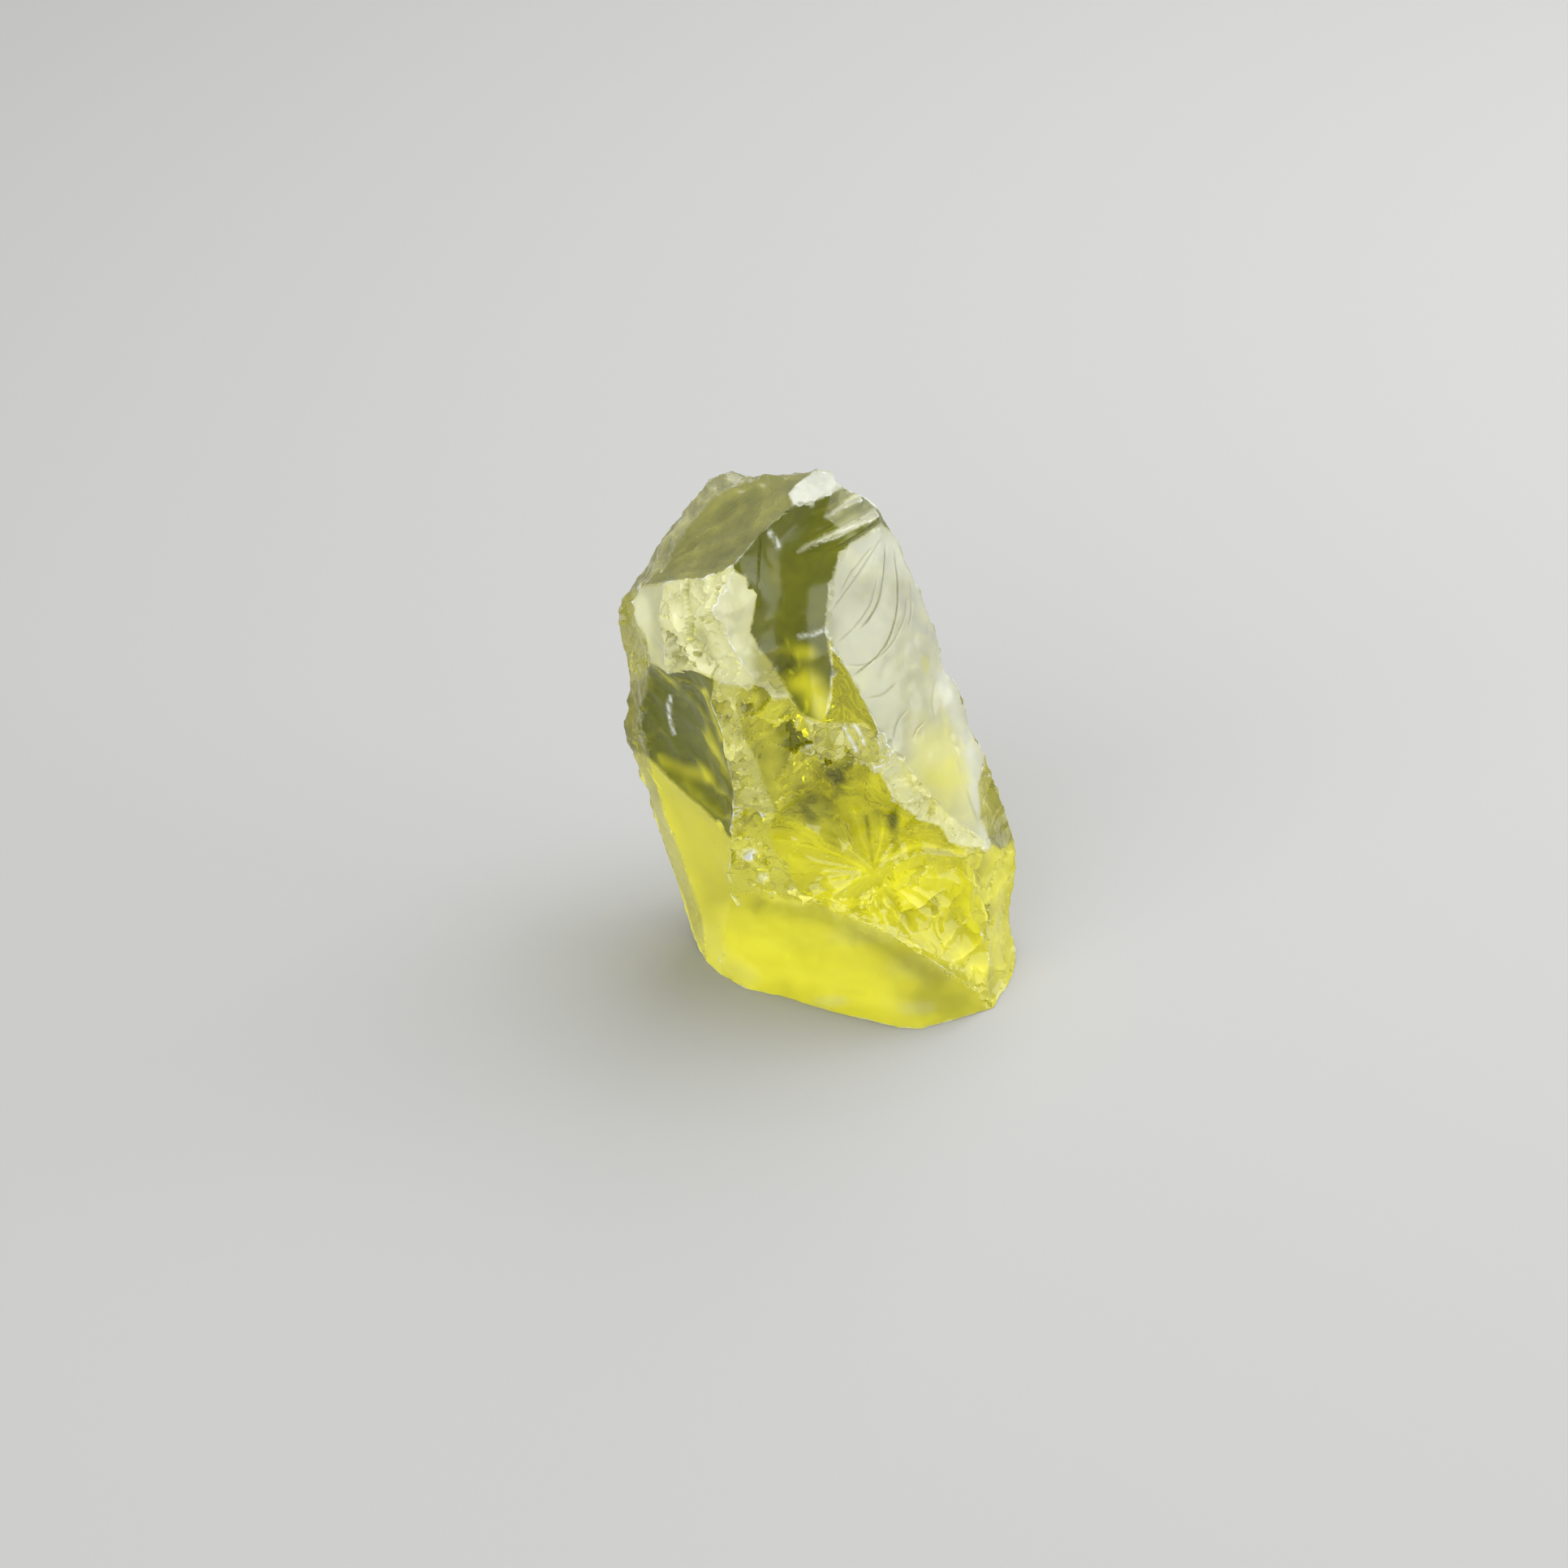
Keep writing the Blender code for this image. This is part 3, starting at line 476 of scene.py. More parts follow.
# How each face broke: the corner that the break spread from, the gap between its ribs and their
# height in mm, the splinters per turn round that corner and their height, the width of the small
# shells and their depth, and the height of soft lumps
BREAKS = {
    "cap": ("crest", 0.0, 0.0, 0, 0.0, 1.6, 0.10, 0.04),
    "slope": ("ledge_top_3", 1.6, 0.07, 44, 0.30, 3.0, 0.14, 0.10),
    "slope_rim": ("left_19", 1.6, 0.08, 22, 0.20, 1.5, 0.26, 0.10),
    "upper_wall": ("right_01", 0.0, 0.0, 14, 0.06, 0.0, 0.0, 0.03),
    "middle_wall": ("right_03", 0.0, 0.0, 18, 0.08, 0.0, 0.0, 0.03),
    "great_hollow": ("cap_edge_a", 4.2, 0.05, 0, 0.0, 0.0, 0.0, 0.02),
    "fin": ("leaf_05", 1.6, 0.05, 14, 0.12, 0.0, 0.0, 0.04),
    "leaf": ("leaf_top", 0.0, 0.0, 0, 0.0, 4.0, 0.06, 0.05),
    "leaf_strip": ("leaf_09", 0.0, 0.0, 26, 0.14, 1.1, 0.26, 0.04),
    "right_side": ("right_14", 0.9, 0.06, 22, 0.16, 1.6, 0.16, 0.06),
    "right_end": ("strip_5", 2.1, 0.06, 22, 0.20, 2.6, 0.30, 0.06),
    "knot": ("knot_low", 0.0, 0.0, 16, 0.20, 1.0, 0.50, 0.10),
    "star_upper": ("star", 2.6, 0.08, 34, 0.46, 2.2, 0.12, 0.06),
    "star_lower": ("star", 2.3, 0.10, 22, 0.36, 3.4, 0.24, 0.05),
    "star_left_face": ("star", 0.0, 0.0, 40, 0.60, 2.2, 0.20, 0.05),
    "star_middle": ("star", 2.6, 0.08, 28, 0.40, 2.4, 0.16, 0.06),
    "column": ("ledge_mid_3", 2.6, 0.10, 26, 0.50, 1.8, 0.34, 0.08),
    "ledge_left": ("ledge_top_3", 0.0, 0.0, 12, 0.12, 1.8, 0.18, 0.08),
    "ledge": ("ledge_top_2", 0.0, 0.0, 22, 0.24, 1.4, 0.60, 0.12),
    "tongue": ("ridge_4", 0.0, 0.0, 16, 0.16, 1.6, 0.20, 0.08),
    "left_rim": ("left_16", 1.4, 0.08, 16, 0.18, 1.5, 0.30, 0.08),
    "left_hollow": ("ledge_low_2", 2.6, 0.10, 20, 0.30, 0.0, 0.0, 0.04),
    "left_hollow_rim": ("left_12", 1.5, 0.08, 12, 0.10, 1.6, 0.14, 0.06),
    "flank": ("left_10", 0.0, 0.0, 8, 0.04, 0.0, 0.0, 0.05),
    "flank_strip": ("left_10", 0.0, 0.0, 8, 0.05, 0.0, 0.0, 0.04),
    "spine": ("ledge_low_4", 0.0, 0.0, 14, 0.12, 1.2, 0.56, 0.08),
    "chips": ("spine_left_2", 0.0, 0.0, 16, 0.14, 1.3, 0.52, 0.08),
    "front": ("foot_corner", 3.2, 0.04, 14, 0.06, 5.0, 0.08, 0.08),
    "rear_top": ("left_24", 1.6, 0.08, 18, 0.20, 2.4, 0.36, 0.10),
    "rear_shoulder": ("rear_right_1", 2.4, 0.22, 26, 0.30, 4.6, 0.55, 0.14),
    "rear_left_top": ("left_19", 2.2, 0.20, 28, 0.34, 4.0, 0.50, 0.14),
    "rear_left_side": ("left_12", 2.0, 0.18, 30, 0.40, 4.4, 0.50, 0.14),
    "rear_left_low": ("heel_1", 1.8, 0.14, 20, 0.24, 3.0, 0.34, 0.10),
    "rear_middle": ("rear_ridge_1", 2.2, 0.24, 34, 0.46, 5.0, 0.60, 0.14),
    "rear_low": ("heel_2", 2.0, 0.18, 24, 0.30, 3.6, 0.46, 0.12),
    "rear_right_top": ("right_05", 2.2, 0.24, 32, 0.44, 5.0, 0.60, 0.14),
    "rear_right_side": ("right_11", 1.6, 0.16, 24, 0.34, 3.0, 0.40, 0.12),
    "rear_right_low": ("rear_right_2", 2.0, 0.20, 28, 0.40, 4.0, 0.50, 0.12),
    "rear_right_end": ("foot_01", 1.6, 0.14, 24, 0.30, 2.6, 0.40, 0.10),
    "rear_heel": ("heel_3", 1.6, 0.12, 20, 0.24, 2.4, 0.34, 0.10),
}

# The finish of each face, with glow and shade painted on it: frost (rough but see-through),
# veil (a smooth milky skin, partly real, partly painted sheen and reflection, and in the hollows a
# dark sheet of painted shade), crust (crushed and whitish, and painted glints), tint (painted glow
# and shade: below 0 the deeper green of painted shade, above 0 the brighter yellow of painted glow)
# and pale (how far the milky skin is grey-white, not the yellow of painted glow)
LOOKS = ("frost", "veil", "crust", "tint", "pale")
FINISHES_AND_PAINTED_LIGHT = {
    # cap: a pale skin that is a painted reflection of a light
    "cap": (0.20, 0.40, 0.06, 0.2, 0.95),
    "slope": (0.20, 0.36, 0.0, -0.50, 0.22),
    "slope_rim": (0.12, 0.24, 0.04, -0.1, 0.6),
    # The walls and the great hollow: painted shade, a deep tint under a dark skin; the two bands
    # between them: a pale skin that is a painted reflection
    "upper_wall": (0.20, 0.48, 0.0, -0.7, 0.12),
    "upper_band": (0.15, 0.26, 0.0, 0.0, 0.8),
    "middle_wall": (0.20, 0.48, 0.0, -0.8, 0.12),
    "lower_band": (0.15, 0.22, 0.0, 0.0, 0.8),
    "great_hollow": (0.24, 0.62, 0.0, -0.95, 0.0),
    "fin": (0.04, 0.14, 0.0, 0.7, 0.1),
    # leaf: milky skin, with a painted reflection of a light on it
    "leaf": (0.16, 0.46, 0.0, 0.3, 0.92),
    "leaf_strip": (0.25, 0.50, 0.08, 0.7, 0.6),
    "right_side": (0.08, 0.20, 0.0, 0.0, 0.2),
    "right_end": (0.08, 0.34, 0.0, 0.9, 0.1),
    "knot": (0.03, 0.20, 0.04, 0.7, 0.5),
    "star_upper": (0.06, 0.14, 0.0, 0.4, 0.0),
    "star_lower": (0.04, 0.30, 0.0, 1.2, -0.05),
    "star_left_face": (0.05, 0.30, 0.0, 1.2, 0.0),
    "star_middle": (0.06, 0.14, 0.0, 0.4, 0.1),
    "column": (0.06, 0.20, 0.0, 0.15, 0.1),
    "ledge_left": (0.15, 0.52, 0.0, 0.8, 0.75),
    "ledge": (0.06, 0.54, 0.06, 1.0, 0.6),
    "tongue": (0.18, 0.58, 0.0, 0.9, 0.75),
    "left_rim": (0.08, 0.26, 0.0, 0.2, 0.35),
    # left hollow: painted shade, a deep tint under a dark skin
    "left_hollow": (0.24, 0.60, 0.0, -0.85, 0.0),
    "left_hollow_rim": (0.06, 0.04, 0.02, -0.2, 0.5),
    # flank to front: painted glow, in their bright tint and yellow skin
    "flank": (0.55, 0.44, 0.0, 0.75, 0.06),
    "flank_strip": (0.40, 0.20, 0.02, 0.6, 0.30),
    "spine": (0.05, 0.28, 0.05, 0.8, 0.4),
    "chips": (0.05, 0.26, 0.04, 1.0, 0.2),
    "front": (0.60, 0.46, 0.0, 0.62, 0.03),
    "base": (0.80, 0.25, 0.05, 0.8, 0.2),
    "rear_left_low": (0.50, 0.25, 0.0, 0.4, 0.2),
    "rear_low": (0.45, 0.22, 0.0, 0.4, 0.1),
    "rear_top": (0.30, 0.20, 0.0, 0.0, 0.5),
    "rear_left_top": (0.20, 0.10, 0.0, -0.3, 0.3),
    "rear_left_side": (0.25, 0.10, 0.0, -0.4, 0.3),
    "rear_middle": (0.35, 0.10, 0.0, -0.3, 0.2),
    "rear_right_top": (0.30, 0.12, 0.0, -0.2, 0.4),
    "rear_right_side": (0.30, 0.12, 0.0, 0.0, 0.4),
    "rear_right_low": (0.35, 0.16, 0.0, 0.3, 0.2),
    "rear_right_end": (0.30, 0.14, 0.0, 0.2, 0.2),
    "rear_heel": (0.50, 0.20, 0.0, 0.5, 0.2),
    "rear_shoulder": (0.30, 0.26, 0.0, -0.1, 0.7),
}

# Soft spots on the front where the finish and the painted light and shade change: mm across and
# up in the view, the spot's half-widths in mm, what changes there and by how much
SPOTS = [
    # front face: the painted glow at its lower left, paler lumps along its foot, its clearer right
    # end
    (-7.7, 5.4, 2.6, 2.0, "veil", 0.10),
    (0.9, 1.9, 1.4, 0.45, "pale", 0.22),
    (6.8, 1.5, 1.3, 0.55, "pale", 0.2),
    (9.0, 3.4, 2.6, 1.2, "veil", -0.12),
    # painted yellow glow low on the leaf, a small painted glint, clearer patches, and the whiter
    # top of it, a painted sheen on its milky skin
    (8.2, 18.7, 2.4, 2.8, "pale", -0.30),
    (8.2, 18.7, 2.4, 2.8, "tint", 0.8),
    (9.2, 16.2, 1.8, 2.4, "pale", -0.25),
    (9.2, 16.2, 1.8, 2.4, "tint", 0.6),
    (6.4, 22.4, 2.2, 2.6, "veil", -0.07),
    (7.3, 25.0, 0.3, 0.7, "pale", -0.35),
    (6.4, 26.2, 2.0, 4.0, "veil", -0.06),
    (4.6, 32.2, 1.8, 1.8, "veil", 0.14),
    # left hollow: painted shade at its middle
    (-9.6, 20.9, 2.4, 2.6, "tint", -0.5),
    # tongue: painted shade on its clearer lower part, and its milkier top
    (-3.0, 24.6, 1.5, 2.2, "veil", -0.40),
    (-3.0, 24.6, 1.5, 2.2, "tint", -0.7),
    (-4.9, 29.6, 0.6, 0.9, "veil", 0.12),
    # painted highlights at the foot of the spine, with painted glow round them
    (-4.7, 12.0, 0.5, 0.4, "crust", 1.0),
    (-3.9, 10.3, 0.45, 0.32, "crust", 1.0),
    (-3.7, 11.0, 1.8, 1.4, "tint", 0.9),
    # painted shade in the pockets over the star, and painted glow round it
    (0.1, 15.1, 1.4, 1.0, "tint", -1.4),
    (1.9, 17.5, 1.8, 0.9, "tint", -1.4),
    (1.0, 16.3, 2.2, 2.0, "veil", -0.25),
    (5.2, 13.6, 0.4, 1.6, "tint", -1.0),
    (3.8, 11.2, 3.2, 2.2, "tint", 0.9),
    (3.8, 10.4, 3.6, 2.4, "veil", 0.12),
    (7.8, 11.6, 2.4, 1.6, "tint", 0.6),
    # duller right end
    (12.2, 12.0, 1.4, 2.2, "tint", -0.5),
    (12.0, 11.0, 1.6, 2.8, "veil", 0.12),
    # paler upper border of the front face, and its dull right end
    (3.0, 6.6, 2.6, 0.9, "pale", 0.12),
    (7.4, 4.2, 2.6, 1.1, "pale", 0.12),
    (8.4, 1.8, 2.6, 1.1, "tint", -0.5),
    # pale plane at the left end of the ledge
    (-12.0, 28.4, 0.7, 1.8, "veil", 0.2),
]

# Soft lines on the front where the finish and the painted light and shade change: a curve in the
# view (mm across, mm up), half its width in mm, what changes there and by how much
GLEAMS = [
    # painted highlights: light streaks under the small face at the top
    ([(-1.1, 33.0), (0.9, 34.3), (3.3, 35.7)], 0.24, "veil", 0.40),
    ([(0.0, 33.4), (2.0, 34.3), (4.0, 34.9)], 0.14, "veil", 0.40),
    ([(1.4, 33.2), (2.8, 33.9), (4.2, 34.3)], 0.12, "veil", 0.35),
    ([(-0.3, 35.3), (1.3, 36.0), (2.8, 36.6)], 0.18, "veil", 0.35),
    ([(0.4, 34.7), (1.9, 35.4), (3.5, 36.0)], 0.12, "veil", 0.25),
    # painted white highlights and golden bands of painted glow in the great hollow, and the light
    # rim of the fin
    ([(-3.3, 34.0), (-3.0, 33.6), (-2.7, 33.1)], 0.30, "crust", 0.7),
    ([(-1.2, 26.9), (-0.4, 27.0), (0.5, 27.4)], 0.26, "crust", 0.7),
    ([(-3.6, 25.4), (-2.4, 25.9), (-0.6, 25.8)], 1.00, "tint", 0.9),
    ([(-2.6, 23.9), (-0.6, 23.6), (0.6, 21.4)], 1.70, "tint", 1.2),
    ([(0.8, 26.8), (0.95, 24.6), (0.75, 22.0)], 0.14, "crust", 0.5),
    # golden bands of painted glow and white streaks in the left hollow
    ([(-10.6, 18.6), (-9.3, 17.9), (-7.6, 17.3)], 0.90, "tint", 0.7),
    ([(-10.1, 22.8), (-10.2, 21.6), (-9.9, 20.3)], 0.20, "crust", 0.8),
    ([(-7.8, 23.2), (-7.2, 21.6), (-6.6, 19.8)], 0.30, "tint", 1.0),
    # front face: painted glow at its lower left, and painted shade on its duller upper border
    ([(-6.6, 7.8), (-6.4, 5.2), (-4.4, 3.7), (-1.8, 3.2)], 1.50, "veil", 0.16),
    ([(-7.6, 6.4), (-6.6, 4.6), (-4.8, 3.6)], 1.30, "pale", 0.14),
    ([(-7.0, 6.0), (-2.0, 4.4), (4.0, 2.6)], 1.60, "tint", 0.5),
    ([(-4.0, 8.4), (0.0, 7.8), (4.0, 6.0), (8.2, 3.5)], 1.20, "veil", -0.20),
    ([(-4.0, 8.4), (0.0, 7.8), (4.0, 6.0), (8.2, 3.5)], 1.20, "tint", -0.45),
    # flank: lighter left border
    ([(-10.6, 15.4), (-9.4, 11.4), (-7.6, 7.0)], 0.90, "veil", 0.14),
    # leaf: whiter right border, of milky skin and painted sheen
    ([(8.6, 24.0), (10.2, 19.4), (11.1, 15.4)], 0.90, "pale", 0.25),
    ([(8.6, 24.0), (10.2, 19.4), (11.1, 15.4)], 0.90, "veil", 0.12),
    # painted light and shade along lines that run to the star
    ([(-0.9, 13.8), (1.6, 12.7), (3.6, 11.1)], 0.20, "veil", 0.20),
    ([(2.4, 15.2), (2.9, 13.4), (3.6, 11.3)], 0.12, "veil", 0.25),
    ([(-1.4, 12.7), (0.9, 12.1), (3.2, 11.0)], 0.18, "veil", 0.22),
    ([(-1.6, 11.4), (0.8, 11.2), (3.2, 10.9)], 0.16, "tint", -0.9),
    ([(0.2, 10.7), (1.6, 11.1), (3.3, 10.8)], 0.14, "veil", 0.20),
    ([(-0.6, 10.0), (1.4, 10.3), (3.4, 10.7)], 0.14, "tint", -0.8),
    ([(1.0, 9.3), (2.3, 10.1), (3.5, 10.6)], 0.12, "veil", 0.20),
    ([(3.3, 14.6), (3.5, 13.0), (3.7, 11.6)], 0.24, "tint", -1.0),
    ([(4.5, 14.2), (4.3, 12.8), (3.9, 11.5)], 0.16, "veil", 0.34),
    ([(6.4, 13.4), (5.4, 12.4), (4.2, 11.3)], 0.22, "tint", -0.8),
    # white edges in the knot
    ([(1.8, 20.6), (2.2, 19.9), (2.6, 19.1)], 0.22, "crust", 0.6),
    ([(2.5, 20.9), (2.9, 20.2), (3.2, 19.5)], 0.18, "crust", 0.6),
    ([(4.3, 11.6), (7.0, 12.6), (9.8, 12.1)], 0.30, "veil", 0.25),
]

# Thin steps on the front, as polylines in the view (mm across, mm up), with width and height
STEPS = [
    ([(0.9, 32.9), (2.4, 33.8), (4.0, 34.9)], 0.40, 0.16),
    ([(-0.6, 33.7), (0.9, 34.6), (2.6, 35.5)], 0.30, 0.10),
    ([(9.3, 19.4), (10.1, 16.6), (11.0, 14.2)], 0.8, 0.12),
]

# Thin cracks on the front, as curves in the view (mm across, mm up), with their depth in mm
CRACKS = [
    ([(4.6, 33.2), (4.5, 31.2), (4.2, 29.4), (3.5, 28.1), (2.9, 27.4)], 0.07),
    ([(5.2, 32.8), (5.45, 30.5), (5.4, 28.6), (4.8, 26.7), (3.9, 25.4), (2.4, 24.2)], 0.07),
    ([(1.5, 29.7), (2.3, 31.3), (3.9, 33.2)], 0.03),
    ([(0.9, 28.6), (1.8, 29.8), (3.4, 32.1), (4.4, 33.7)], 0.03),
    ([(1.2, 26.4), (2.5, 27.5), (3.6, 29.1), (4.1, 31.0)], 0.03),
    ([(2.0, 24.9), (3.3, 25.0), (4.7, 26.0), (5.8, 27.8), (6.1, 29.6)], 0.03),
    ([(6.2, 31.0), (6.4, 29.0), (6.2, 27.4)], 0.02),
    ([(3.3, 22.7), (4.4, 22.9), (5.4, 23.8)], 0.03),
    ([(5.1, 19.6), (5.4, 21.0), (6.1, 21.9)], 0.04),
    ([(6.5, 19.9), (6.8, 20.6), (7.3, 21.1)], 0.04),
    ([(8.1, 24.0), (7.8, 22.4), (8.0, 21.2)], 0.02),
    ([(-3.9, 34.0), (-4.05, 32.0), (-4.1, 30.2)], 0.07),
]
CRACK_WIDTH = 0.10  # mm, from the middle of a crack to its edge
STEPPED = ("cap", "great_hollow", "leaf", "slope", "fin")

# Single bites: mm across and up in the view, radius in mm, and their depth in mm
BITES = [
    (11.6, 16.6, 1.5, 0.40),
    (-4.75, 11.8, 0.6, 0.30),
    (-3.8, 10.3, 0.6, 0.30),
    (-5.2, 13.4, 0.6, 0.25),
    (-3.0, 12.4, 0.8, 0.22),
    (-4.6, 15.0, 0.7, 0.25),
    (-5.2, 16.8, 0.6, 0.22),
    (-6.4, 22.2, 0.6, 0.25),
    (0.2, 20.2, 0.6, 0.30),
    (1.5, 20.0, 0.9, 0.34),
    (1.0, 18.9, 0.7, 0.28),
    (10.0, 7.6, 1.1, 0.25),
    (8.4, 7.0, 0.9, 0.22),
]

# Faces with small forms, and the longest edge of their triangles as a share of the usual one; the
# faces at the back have larger forms
DETAILED = {
    name: 0.6
    for name in (
        "cap fin leaf_strip right_end knot star_upper star_lower star_left_face star_middle column"
        " ledge tongue spine chips slope_rim left_rim"
    ).split()
}
REAR_SHARE = 1.2
CRUSHED = (
    "ledge", "knot", "spine", "chips", "leaf_strip", "column", "left_rim", "right_end",
    "star_lower",
)

# How far the painted glow and sheen follow the relief of a face: lighter where it is raised,
# darker where it sinks, as painted light and shade
RELIEF_PAINTED_LIGHT = {
    "star_upper": 1.2,
    "star_lower": 1.0,
    "star_left_face": 1.0,
    "star_middle": 1.0,
    "slope": 0.3,
    "slope_rim": 0.8,
    "left_hollow": 1.0,
    "great_hollow": 0.5,
    "column": 1.0,
    "right_end": 0.8,
    "ledge": 0.8,
    "spine": 0.8,
    "chips": 0.8,
    "knot": 1.2,
}

# Chips along the ridges: the face that they bite into, how many per mm of its ridges, their
# radius in mm, and their depth in mm
CHIPPED = [
    ("leaf", 1.0, 0.55, 0.13),
    ("great_hollow", 0.2, 0.9, 0.14),
    ("cap", 0.4, 0.6, 0.12),
    ("slope_rim", 0.6, 1.0, 0.22),
    ("ledge", 0.6, 0.8, 0.22),
    ("spine", 0.35, 0.8, 0.20),
    ("knot", 0.5, 0.6, 0.20),
    ("chips", 0.35, 0.8, 0.20),
    ("front", 0.5, 0.8, 0.18),
    ("flank", 0.4, 0.8, 0.16),
    ("leaf_strip", 0.9, 0.6, 0.16),
    ("right_end", 0.6, 0.9, 0.24),
    ("right_side", 0.7, 0.8, 0.20),
    ("left_rim", 0.5, 0.9, 0.22),
    ("left_hollow_rim", 0.4, 0.9, 0.20),
    ("flank_strip", 0.35, 0.8, 0.18),
    ("rear_shoulder", 0.7, 1.2, 0.30),
    ("rear_middle", 0.7, 1.2, 0.30),
    ("rear_low", 0.7, 1.1, 0.28),
    ("rear_right_side", 0.7, 1.0, 0.26),
    ("rear_left_side", 0.6, 1.1, 0.28),
]

RELAX_ROUNDS = 24
COARSE_EDGE = 1.6  # mm
MEDIUM_EDGE = 1.9  # times the fine edge length
DISH_REACH = (1.2, 1.8)  # mm from a ridge to a dish's floor: a part, and a part per mm of depth
RIDGE_WANDER, WANDER_SCALE = 0.16, 0.55  # mm that a ridge strays, and waves per mm
FINE_WANDER, FINE_SCALE = 0.07, 2.2  # the same for its small bends
REAR_WANDER = 2.6  # times as far for the ridges that don't show in the photograph
CHIP_SEED = 23
NOISE_SEED = 7  # without it, mathutils.noise takes the time as its seed
SHARP_ANGLE = math.radians(26)
RIDGE_ANGLE = math.radians(7)
CRUSHED_ANGLE = math.radians(13)
STEP_SCARP = 0.16  # mm, width of a step's steep side
RIDGE_RELIEF = 0.35  # share of the relief that is left on a ridge
RELIEF_REACH = 0.8  # mm from a ridge to the full relief
# In the next two, the finish that changes fully is the painted glow, sheen and shade
FULL_RAISE = 0.22  # mm of relief that changes the finish fully
FULL_CRACK = 0.07  # mm of depth that changes the finish fully
TURNED_AWAY = -0.2  # least cosine to the line of sight where spots and gleams still fall
# Painted light from the relief: raised parts get painted glow and sheen, cracks get painted shade
CREST_PAINTED_GLOW, CREST_PAINTED_SHEEN = 0.9, 0.22
CRACK_PAINTED_SHADE, CRACK_PAINTED_SHADE_SKIN = 0.7, 0.35
WORN_BEND = math.radians(80)  # an edge that bends this much is worn fully
REAR_WEAR, FLAT_WEAR = 0.75, 0.42  # shares of wear at the back, and off the ridges


# Shape

def seen_corner(across, up, back):
    """The place, in mm, of a corner that shows at (across, up) in the view, that far back."""
    cos, sin = math.cos(VIEW_HEIGHT), math.sin(VIEW_HEIGHT)
    right = across - VIEW_ACROSS
    rise = up - VIEW_UP
    behind = back - VIEW_BACK
    level = (VIEW_UP - VIEW_BACK * sin) / cos
    above = (rise * (1 + behind * cos / VIEW_DISTANCE) - behind * sin) / (
        cos + rise * sin / VIEW_DISTANCE
    )
    nearer = above * sin - behind * cos
    return Vector((VIEW_ACROSS + right * (1 - nearer / VIEW_DISTANCE), back, level + above))


def standing_corner(across, up):
    """The place, in mm, of a corner at no height that shows at (across, up) in the view."""
    cos, sin = math.cos(VIEW_HEIGHT), math.sin(VIEW_HEIGHT)
    rise = up - VIEW_UP
    above = -(VIEW_UP - VIEW_BACK * sin) / cos
    behind = (rise * (1 - above * sin / VIEW_DISTANCE) - above * cos) / (
        sin - rise * cos / VIEW_DISTANCE
    )
    return seen_corner(across, up, VIEW_BACK + behind)


def sight():
    """The point looked at and the view's up and nearer directions, in mm."""
    cos, sin = math.cos(VIEW_HEIGHT), math.sin(VIEW_HEIGHT)
    target = seen_corner(VIEW_ACROSS, VIEW_UP, VIEW_BACK)
    return target, Vector((0, sin, cos)), Vector((0, -cos, sin))


def in_view(place):
    """Where a place in mm shows in the view: mm across and mm up."""
    target, up, nearer = sight()
    away = place - target
    scale = VIEW_DISTANCE / (VIEW_DISTANCE - away.dot(nearer))
    return Vector((VIEW_ACROSS + away.x * scale, VIEW_UP + away.dot(up) * scale))


def corners():
    """Every corner's place by name, in mm."""
    places = {name: seen_corner(*view) for name, view in SEEN.items()}
    for name, view in STANDING.items():
        places[name] = standing_corner(*view)
        places[name].z = 0.0
    places.update({name: Vector(place) for name, place in HIDDEN.items()})
    return places


def cage(bm):
    """Builds the corners and the faces, each face with its own number in the layer "face"."""
    number = bm.faces.layers.int.new("face")
    made = {name: bm.verts.new(place) for name, place in corners().items()}
    for index, (_, names) in enumerate(FACES.values()):
        face = bm.faces.new([made[name] for name in names.split()])
        face[number] = index
    bmesh.ops.recalc_face_normals(bm, faces=bm.faces)
    if bm.calc_volume(signed=True) < 0:
        bmesh.ops.reverse_faces(bm, faces=bm.faces)
    return number


def is_ridge(edge, number):
    return len({face[number] for face in edge.link_faces}) > 1


def relax(bm, number, rounds):
    """Smooths the inside of each face and leaves the ridges where they are."""
    held = {vert for edge in bm.edges if is_ridge(edge, number) for vert in edge.verts}
    free = [vert for vert in bm.verts if vert not in held]
    for _ in range(rounds):
        bmesh.ops.smooth_vert(
            bm, verts=free, factor=0.6, use_axis_x=True, use_axis_y=True, use_axis_z=True
        )


def edge_lengths(longest):
    """The longest edge wanted in each face."""
    names = list(FACES)
    shares = [REAR_SHARE if name.startswith("rear") else DETAILED.get(name, 1.0) for name in names]
    return [longest * share for share in shares]


def refine(bm, number, longest, rounds):
    """Cuts every edge over its face's length, and evens out the triangles inside each face."""
    while True:
        bmesh.ops.triangulate(bm, faces=bm.faces, quad_method="BEAUTY", ngon_method="BEAUTY")
        inside = [edge for edge in bm.edges if not is_ridge(edge, number)]
        bmesh.ops.beautify_fill(bm, faces=bm.faces, edges=inside)
        long_edges = [
            edge
            for edge in bm.edges
            if edge.calc_length() > min(longest[face[number]] for face in edge.link_faces)
        ]
        if not long_edges:
            return
        bmesh.ops.subdivide_edges(bm, edges=long_edges, cuts=1)
        relax(bm, number, rounds)


def wander(bm, number, scale, reach):
    """Makes the ridges stray a little, as broken edges do. The base stays flat."""
    base = list(FACES).index("base")
    rear = {index for index, name in enumerate(FACES) if name.startswith("rear")}
    for vert in {vert for edge in bm.edges if is_ridge(edge, number) for vert in edge.verts}:
        shift = noise.noise_vector(vert.co * scale) * reach
        if faces_of(vert, number) <= rear:
            shift *= REAR_WANDER
        if any(face[number] == base for face in vert.link_faces):
            shift.z = 0.0
        vert.co += shift


